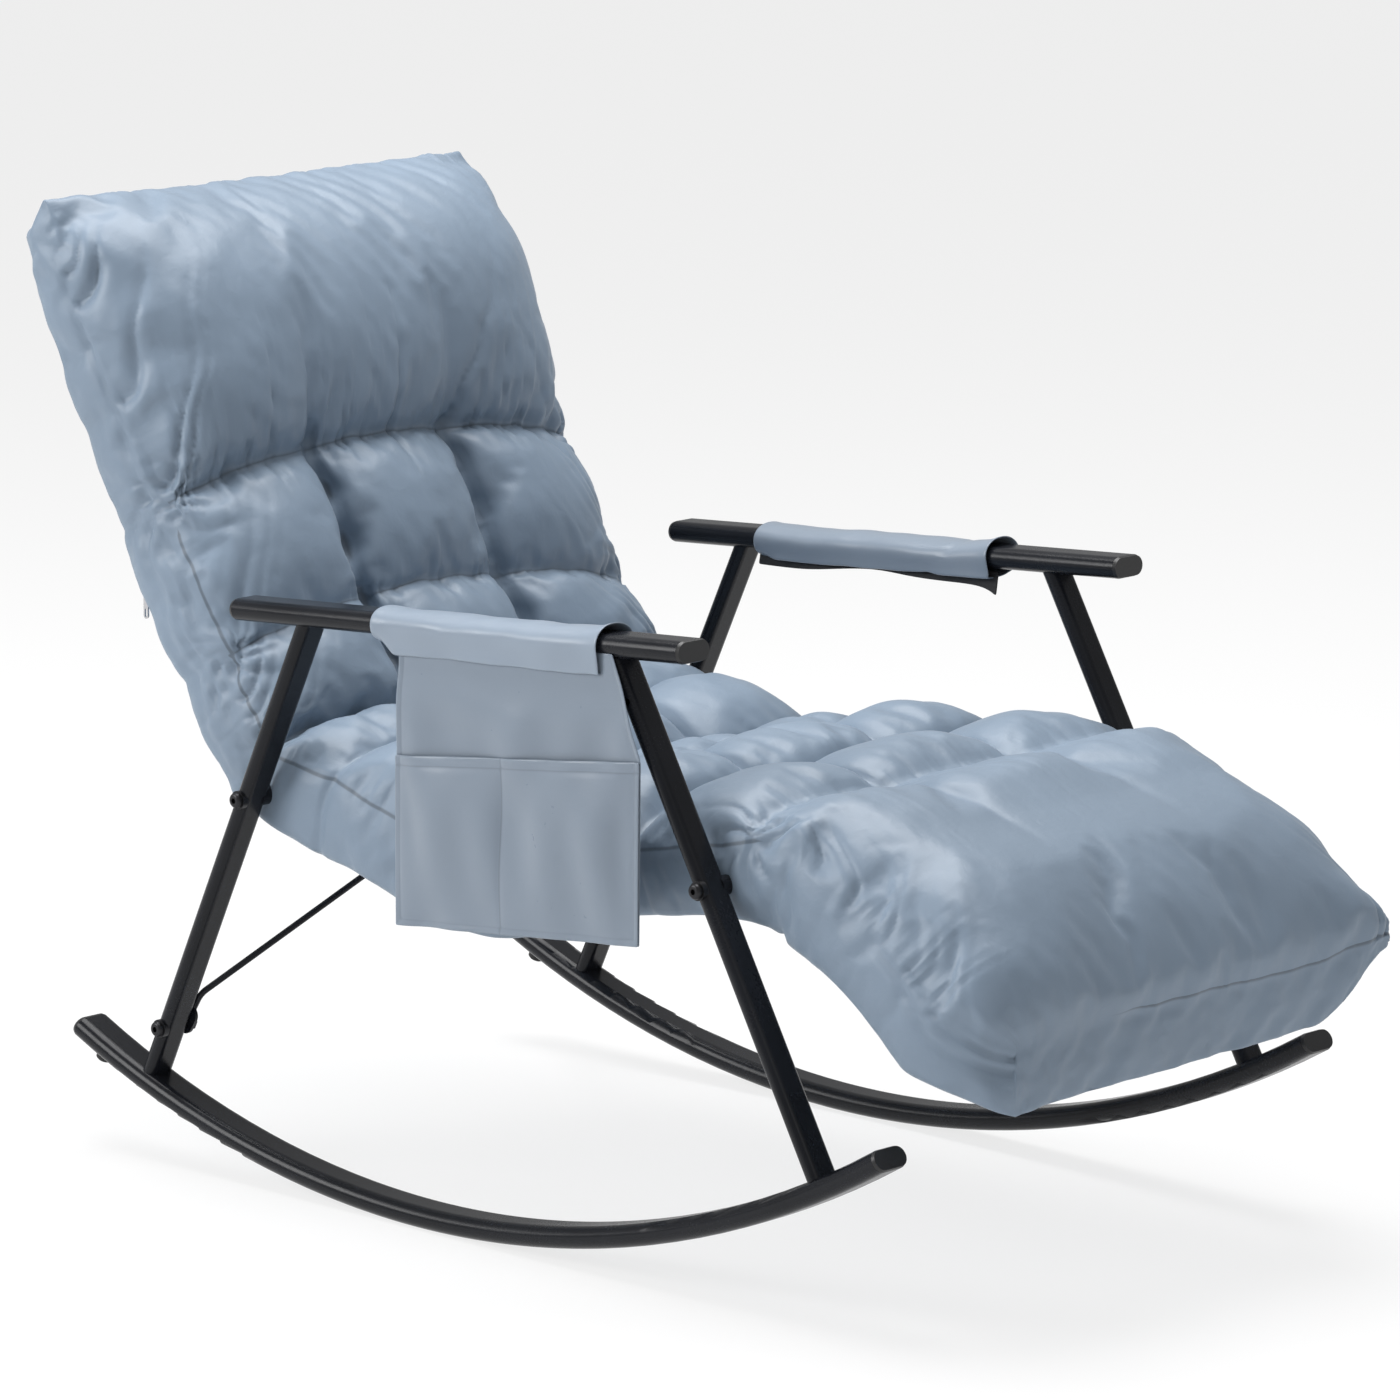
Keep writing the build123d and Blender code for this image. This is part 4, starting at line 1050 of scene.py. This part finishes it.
                depth = depth + size * star * np.maximum(upper * np.exp(-beside / self.star_edge), band)
        return depth

    def star(self, past: Array, over: Array, seed: Array) -> Array:
        """Return the folds that run out from the end of a cross seam, over the edge of the mattress."""
        distance = np.hypot(past, over)
        turn = np.arctan2(over, past) + 0.4 * np.sin(seed + 45 * distance)
        rays = (1 - np.abs(np.sin(4.5 * turn + seed))) ** 1.5
        return rays * np.exp(-distance / self.star_reach) * smooth(distance / 0.01)

    def seam_crease_shade_gap(self, along: Array, across: Array) -> Array:
        """Return the distance from the sewn lines that show on the back, two cross seams and two columns,
        along which painted crease shade is drawn.
        """
        seams = [self.pad.seams[number] for number in (1, 2)]
        gap = np.minimum(*[np.abs(along - seam.place) for seam in seams])
        inside = (along > seams[0].place) & (along < self.pad.seams[3].place - 0.02)
        return np.where(inside, np.minimum(gap + 0.0012, self.column_gap(along, across)), gap + 0.0012)


@dataclass
class ArmFrame:
    """Where an armrest lies: a point on its middle line and its directions along and up."""

    side: str
    tube_lift: float = 0.0118

    def __post_init__(self) -> None:
        """Read the place from the mount on the arm's cover."""
        name = f"{self.side}_arm_cover_top"
        mount = next(mount for mount in frame["record"]["mounts"] if mount["name"] == name)
        self.up = np.array(mount["axis"])
        self.along = np.array([self.up[2], 0.0, -self.up[0]])
        self.middle = np.array(mount["pos_m"]) - self.tube_lift * self.up

    def at(self, forward: Array, beside: Array, above: Array) -> Array:
        """Return places from distances along the arm, across it and above its middle line."""
        across = np.array([0.0, 1.0, 0.0])
        level = self.middle + forward[..., None] * self.along + beside[..., None] * across
        return level + above[..., None] * self.up


@dataclass
class ArmCover:
    """A loose cloth sleeve on an armrest, open at both ends."""

    side: str
    shop: Workshop
    half_width: float = 0.0236
    half_height: float = 0.0142
    drop: float = 0.0012
    corner: float = 0.92
    thickness: float = 0.0016
    cell: float = 0.0045
    around: int = 44
    hem: float = 0.0075
    flare: Pair = (0.14, 0.42)
    flare_reach: float = 0.014
    trim: Pair = (0.0, 0.037)
    side_flare: float = 0.3
    sag: float = 0.011
    sag_start: float = 0.03
    sag_pull: float = 0.85
    fold_depth: float = 0.0
    fold_place: float = 0.055
    fold_slant: float = 1.1
    fold_width: float = 0.006
    unevenness: float = 0.0007
    stitch_gap: float = 0.0012
    # painted shade: 1 draws this sleeve darker, standing in for dimmer light
    painted_shade: float = 0.0

    def build(self) -> Piece:
        """Make the sleeve and return it."""
        arm = ArmFrame(self.side)
        low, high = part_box(f"{self.side}_arm_cover")
        start = (low.x - arm.middle[0]) / arm.along[0] + self.trim[0]
        end = (high.x - arm.middle[0]) / arm.along[0] - self.trim[1]
        forward = np.linspace(start, end, round((end - start) / self.cell) + 1)[:, None]
        turn = np.arange(self.around)[None, :] * math.tau / self.around
        rear = np.exp(-(forward - start) / self.flare_reach)
        front = np.exp(-(end - forward) / self.flare_reach)
        open_up = 1 + self.flare[0] * rear + self.flare[1] * front * (0.5 + 0.5 * np.sin(turn))
        beside, above = [np.sign(wave) * np.abs(wave) ** self.corner for wave in (np.cos(turn), np.sin(turn))]
        beside = self.half_width * beside * (1 + self.side_flare * (open_up - 1))
        above = self.half_height * above * open_up - self.drop
        hang = smooth(-above / self.half_height) * smooth(0.5 - beside / self.half_width)
        hang = hang * smooth((forward - start) / self.sag_start)
        above = above - self.sag * hang
        pull = self.sag_pull * hang * smooth(-2 * beside / self.half_width)
        beside = beside - pull * (self.half_width + beside)
        slant = (forward - end + self.fold_place) - self.fold_slant * above
        above = above - self.fold_depth * bell(slant, 0.0, self.fold_width) * np.sign(above + self.drop)
        forward = np.broadcast_to(forward, above.shape)
        places = arm.at(forward, beside, above)
        places = places + ripples(places.reshape(-1, 3), self.unevenness, seed=11).reshape(places.shape)
        sleeve = sheet_piece(f"{self.side}_sleeve", places[::-1], ring=True)
        edge = np.minimum(forward - start, end - forward)
        mark(sleeve, "seam_and_shade_gap", self.stitch_gap + np.abs(edge - self.hem)[::-1])
        # mark for painted shade on the sleeve
        mark(sleeve, "painted_shade", np.full(above.shape, self.painted_shade))
        thicken(sleeve, self.thickness, offset=-1.0)
        self.shop.dress(sleeve, Slot.COVER)
        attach(sleeve, "base")
        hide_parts(f"{self.side}_arm_cover")
        return sleeve


@dataclass
class SleeveDarkStrip:
    """The dark strip that hangs out under the left sleeve, with a dog-eared front corner."""

    shop: Workshop
    rear: float = -0.150
    front: float = 0.150
    depth: float = 0.013
    ear: float = 0.012
    beside: float = -0.012
    top: float = -0.0125
    thickness: float = 0.0014
    cell: float = 0.004

    def build(self) -> None:
        """Make the strip under the left sleeve."""
        arm = ArmFrame("left")
        length = self.front - self.rear
        forward = np.linspace(self.rear, self.front, round(length / self.cell) + 1)[:, None]
        down = np.linspace(0, 1, 5)[None, :]
        share = (forward - self.rear) / length
        drop = self.depth * (0.8 + 0.2 * np.sin(9 * share + 0.4)) + self.ear * np.exp(-(1 - share) / 0.05)
        above = self.top - down * drop
        beside = self.beside - 0.003 * down + 0.0022 * np.sin(17 * share) * down
        places = arm.at(np.broadcast_to(forward, above.shape), np.broadcast_to(beside, above.shape), above)
        strip = sheet_piece("left_sleeve_dark_strip", places)
        thicken(strip, self.thickness, offset=0.0)
        # the strip is drawn with the dark webbing finish
        self.shop.dress(strip, Slot.WEBBING)
        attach(strip, "base")
        log.info("%s: %.0f mm long", strip.name, 1000 * length)


@dataclass
class SidePocket:
    """The cloth that hangs from the right sleeve and the two-part pouch sewn on its outside."""

    shop: Workshop
    top: tuple[Pair, Pair] = ((-0.015, 0.540), (0.247, 0.554))
    mouth: tuple[Pair, Pair] = ((-0.014, 0.431), (0.285, 0.466))
    bottom: tuple[Pair, Pair] = ((-0.015, 0.277), (0.283, 0.304))
    face: float = -0.3078
    tuck: float = 0.0045
    wave: float = 0.0024
    divider: float = 0.442
    bulge: float = 0.0080
    layer: float = 0.0018
    thickness: float = 0.0013
    hem: float = 0.0050
    binding: float = 0.0011
    stitch_gap: float = 0.0010
    stitch_depth: float = 0.0007
    stitch_width: float = 0.002
    breadth: float = 0.30
    height: float = 0.26
    pouch_height: float = 0.157
    cell: float = 0.003

    def grid(self, *edges: tuple) -> tuple[Array, Array, Array, Array]:
        """Return the shares along and down a panel through edges, and its places in the side view."""
        lines = np.array(edges)
        cols = round(float(np.linalg.norm(lines[-1, 1] - lines[-1, 0])) / self.cell) + 1
        heights = np.concatenate([[0.0], np.cumsum(np.linalg.norm(np.diff(lines[:, 0], axis=0), axis=1))])
        rows = round(float(heights[-1]) / self.cell) + 1
        along, down = np.meshgrid(np.linspace(0, 1, cols), np.linspace(0, 1, rows))
        ends = []
        for end in (0, 1):
            pair = [np.interp(down[:, 0] * heights[-1], heights, lines[:, end, axis]) for axis in (0, 1)]
            ends.append(np.stack(pair, -1)[:, None, :])
        first, second = ends
        flat = first + (second - first) * along[..., None]
        return along, down, flat[..., 0], flat[..., 1]

    def hang(self, x: Array, z: Array) -> Array:
        """Return how far the hanging cloth stands out, tucked in under the sleeve, with its slow waves."""
        drop = np.interp(x, [self.top[0][0], self.top[1][0]], [self.top[0][1], self.top[1][1]]) - z
        draws = np.random.default_rng(5)
        wave = np.zeros_like(x)
        for _ in range(10):
            turn, length = draws.uniform(-0.9, 0.9), draws.uniform(0.060, 0.150)
            way = (x * math.cos(turn) + 0.7 * z * math.sin(turn)) / length
            phase = draws.uniform(0, math.tau)
            wave = wave + np.sin(math.tau * way + phase + np.sin(z / 0.04 + 9 * turn))
        inside = np.minimum(x - self.bottom[0][0], self.bottom[1][0] - x)
        wave = self.wave * wave / 3 * smooth((drop - 0.04) / 0.05) * smooth(inside / 0.03)
        return self.face - wave + self.tuck * (1 - smooth((drop - 0.022) / 0.045))

    def build(self, sleeve: Piece) -> None:
        """Make the hanging panel and the pouch."""
        along, down, x, z = self.grid(self.top, self.mouth, self.bottom)
        edge = np.minimum(np.minimum(along, 1 - along) * self.breadth, (1 - down) * self.height)
        panel = self.panel("side_panel", x, self.hang(x, z), z, edge, np.abs(edge - self.hem))
        along, down, x, z = self.grid(self.mouth, self.bottom)
        front = (along - self.divider) / (1 - self.divider)
        part = np.where(along < self.divider, along / self.divider, front)
        puff = dome(2 * part - 1, 2.2, 1.0) * (0.45 + 0.55 * np.sin(math.pi * down)) * dome(down, 5.0, 1.0)
        edge = np.minimum(np.minimum(along, 1 - along) * self.breadth, (1 - down) * self.pouch_height)
        lines = np.minimum(np.abs(edge - self.hem), np.abs(along - self.divider) * self.breadth)
        lines = np.minimum(lines, np.abs(down * self.pouch_height - 2 * self.hem))
        pouch = self.panel("side_pouch", x, self.hang(x, z) - self.layer - self.bulge * puff, z, edge, lines)
        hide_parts("pocket_panel")
        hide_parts("pocket_front", "pocket_seams")

    def panel(self, name: str, x: Array, y: Array, z: Array, edge: Array,
              lines: Array) -> Piece:
        """Make one cloth panel with a raised binding.

        Args:
            name: Name of the piece.
            x: Places along the chair.
            y: Places across the chair, outwards negative.
            z: Heights.
            edge: Distances from the bound edges.
            lines: Distances from the stitches.

        Returns:
            The panel.
        """
        bound = self.binding * (1 - smooth((edge - 0.6 * self.hem) / (0.5 * self.hem)))
        stitched = self.stitch_depth * bell(lines, 0.0, self.stitch_width)
        piece = sheet_piece(name, np.stack([x, y - bound + stitched, z], -1))
        mark(piece, "seam_and_shade_gap", self.stitch_gap + lines)
        # painted shade: the pocket panels are drawn darker, standing in for the dimmer light on them
        mark(piece, "painted_shade", np.ones_like(lines))
        thicken(piece, self.thickness, offset=0.0)
        self.shop.dress(piece, Slot.COVER)
        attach(piece, "base")
        log.info("%s: %d faces", piece.name, len(piece.data.polygons))
        return piece


@dataclass
class Studio:
    """Pale floor, soft lamps and the camera of the photograph."""

    azimuth: float = 43.54
    elevation: float = 11.08
    lens: float = 186.8
    camera_place: Triple = (4.497, -4.668, 1.707)
    aim: Triple = (0.05, 0.0, 0.4)
    floor_size: float = 60.0
    floor_shade: float = 0.85
    floor_glow: float = 0.78
    ambient: float = 0.37

    def build(self) -> None:
        """Set up the world, floor, lamps and camera."""
        scene = bpy.context.scene
        scene.view_settings.view_transform = "Standard"
        self.world()
        self.floor()
        self.lamp("side_lamp", place=(-2.4, -3.6, 2.4), size=2.2, power=130.0)
        self.lamp("front_lamp", place=(3.8, -2.2, 2.0), size=1.6, power=6.0)
        self.lamp("top_lamp", place=(-0.55, 0.3, 3.5), size=2.6, power=152.0)
        camera = bpy.data.objects.new("camera", bpy.data.cameras.new("camera"))
        camera.data.lens = self.lens
        camera.location = self.camera_place
        camera.rotation_euler = (math.radians(90 - self.elevation), 0, math.radians(self.azimuth))
        scene.collection.objects.link(camera)
        scene.camera = camera

    @staticmethod
    def seen(shader: Shader) -> Wire:
        """Return 1 for rays that show the background: from the camera, and mirrored or refracted ones."""
        rays = [shader.node("ShaderNodeLightPath", output=name)
                for name in ("Is Camera Ray", "Is Glossy Ray", "Is Transmission Ray")]
        return rays[0].math("MAXIMUM", rays[0], rays[1].math("MAXIMUM", rays[1], rays[2]))

    def world(self) -> None:
        """Make an even pale sky."""
        world = bpy.data.worlds.new("studio")
        bpy.context.scene.world = world
        world.use_nodes = True
        nodes, links = world.node_tree.nodes, world.node_tree.links
        path = nodes.new("ShaderNodeLightPath")
        level = nodes.new("ShaderNodeMapRange")
        level.inputs["To Min"].default_value = self.ambient
        level.inputs["To Max"].default_value = 1.0
        links.new(path.outputs["Is Camera Ray"], level.inputs["Value"])
        links.new(level.outputs["Result"], nodes["Background"].inputs["Strength"])
        nodes["Background"].inputs["Color"].default_value = (1, 1, 1, 1)

    def floor(self) -> None:
        """Lay a white floor that keeps a faint shadow."""
        bpy.ops.object.select_all(action="DESELECT")
        bpy.ops.mesh.primitive_plane_add(size=self.floor_size)
        floor = bpy.context.active_object
        floor.name = "studio_floor"
        ground = Shader("studio_floor")
        matt = ground.node("ShaderNodeBsdfDiffuse", inputs={"Color": (*[self.floor_shade] * 3, 1)})
        white = ground.node("ShaderNodeEmission", inputs={"Color": (1, 1, 1, 1), "Strength": 1.0})
        share = self.seen(ground) * self.floor_glow
        ground.show(ground.node("ShaderNodeMixShader", inputs={0: share, 1: matt, 2: white}))
        floor.data.materials.append(ground.material)

    def lamp(self, name: str, place: Triple, size: float, power: float) -> None:
        """Hang a soft square lamp that faces the chair."""
        lamp = bpy.data.objects.new(name, bpy.data.lights.new(name, "AREA"))
        lamp.data.size = size
        lamp.data.energy = power
        lamp.location = place
        beam = Vector(self.aim) - Vector(place)
        lamp.rotation_euler = beam.to_track_quat("-Z", "Y").to_euler()
        bpy.context.scene.collection.objects.link(lamp)


def hinge_place(name: str) -> Array:
    """Return the place of a joint in the side view."""
    joint = next(joint for joint in frame["joints"] if joint["name"] == name)
    return np.array([joint["pos_m"][0], joint["pos_m"][2]])


def main() -> None:
    """Build the studio and dress the chair."""
    logging.basicConfig(level=logging.INFO, format="%(message)s")
    Studio().build()
    shop = Workshop()
    shop.dress_nodes()
    line = MattressLine(hinge_place("back_recline"), hinge_place("leg_rest_tilt"))
    Mattress(line, shop).build()
    sleeve = ArmCover("right", shop).build()
    SidePocket(shop).build(sleeve)
    # the far sleeve is drawn darker with painted shade
    ArmCover("left", shop, trim=(0.010, 0.014), sag=0.004, fold_depth=0.0012, painted_shade=1.0).build()
    SleeveDarkStrip(shop).build()


if __name__ == "__main__":
    main()
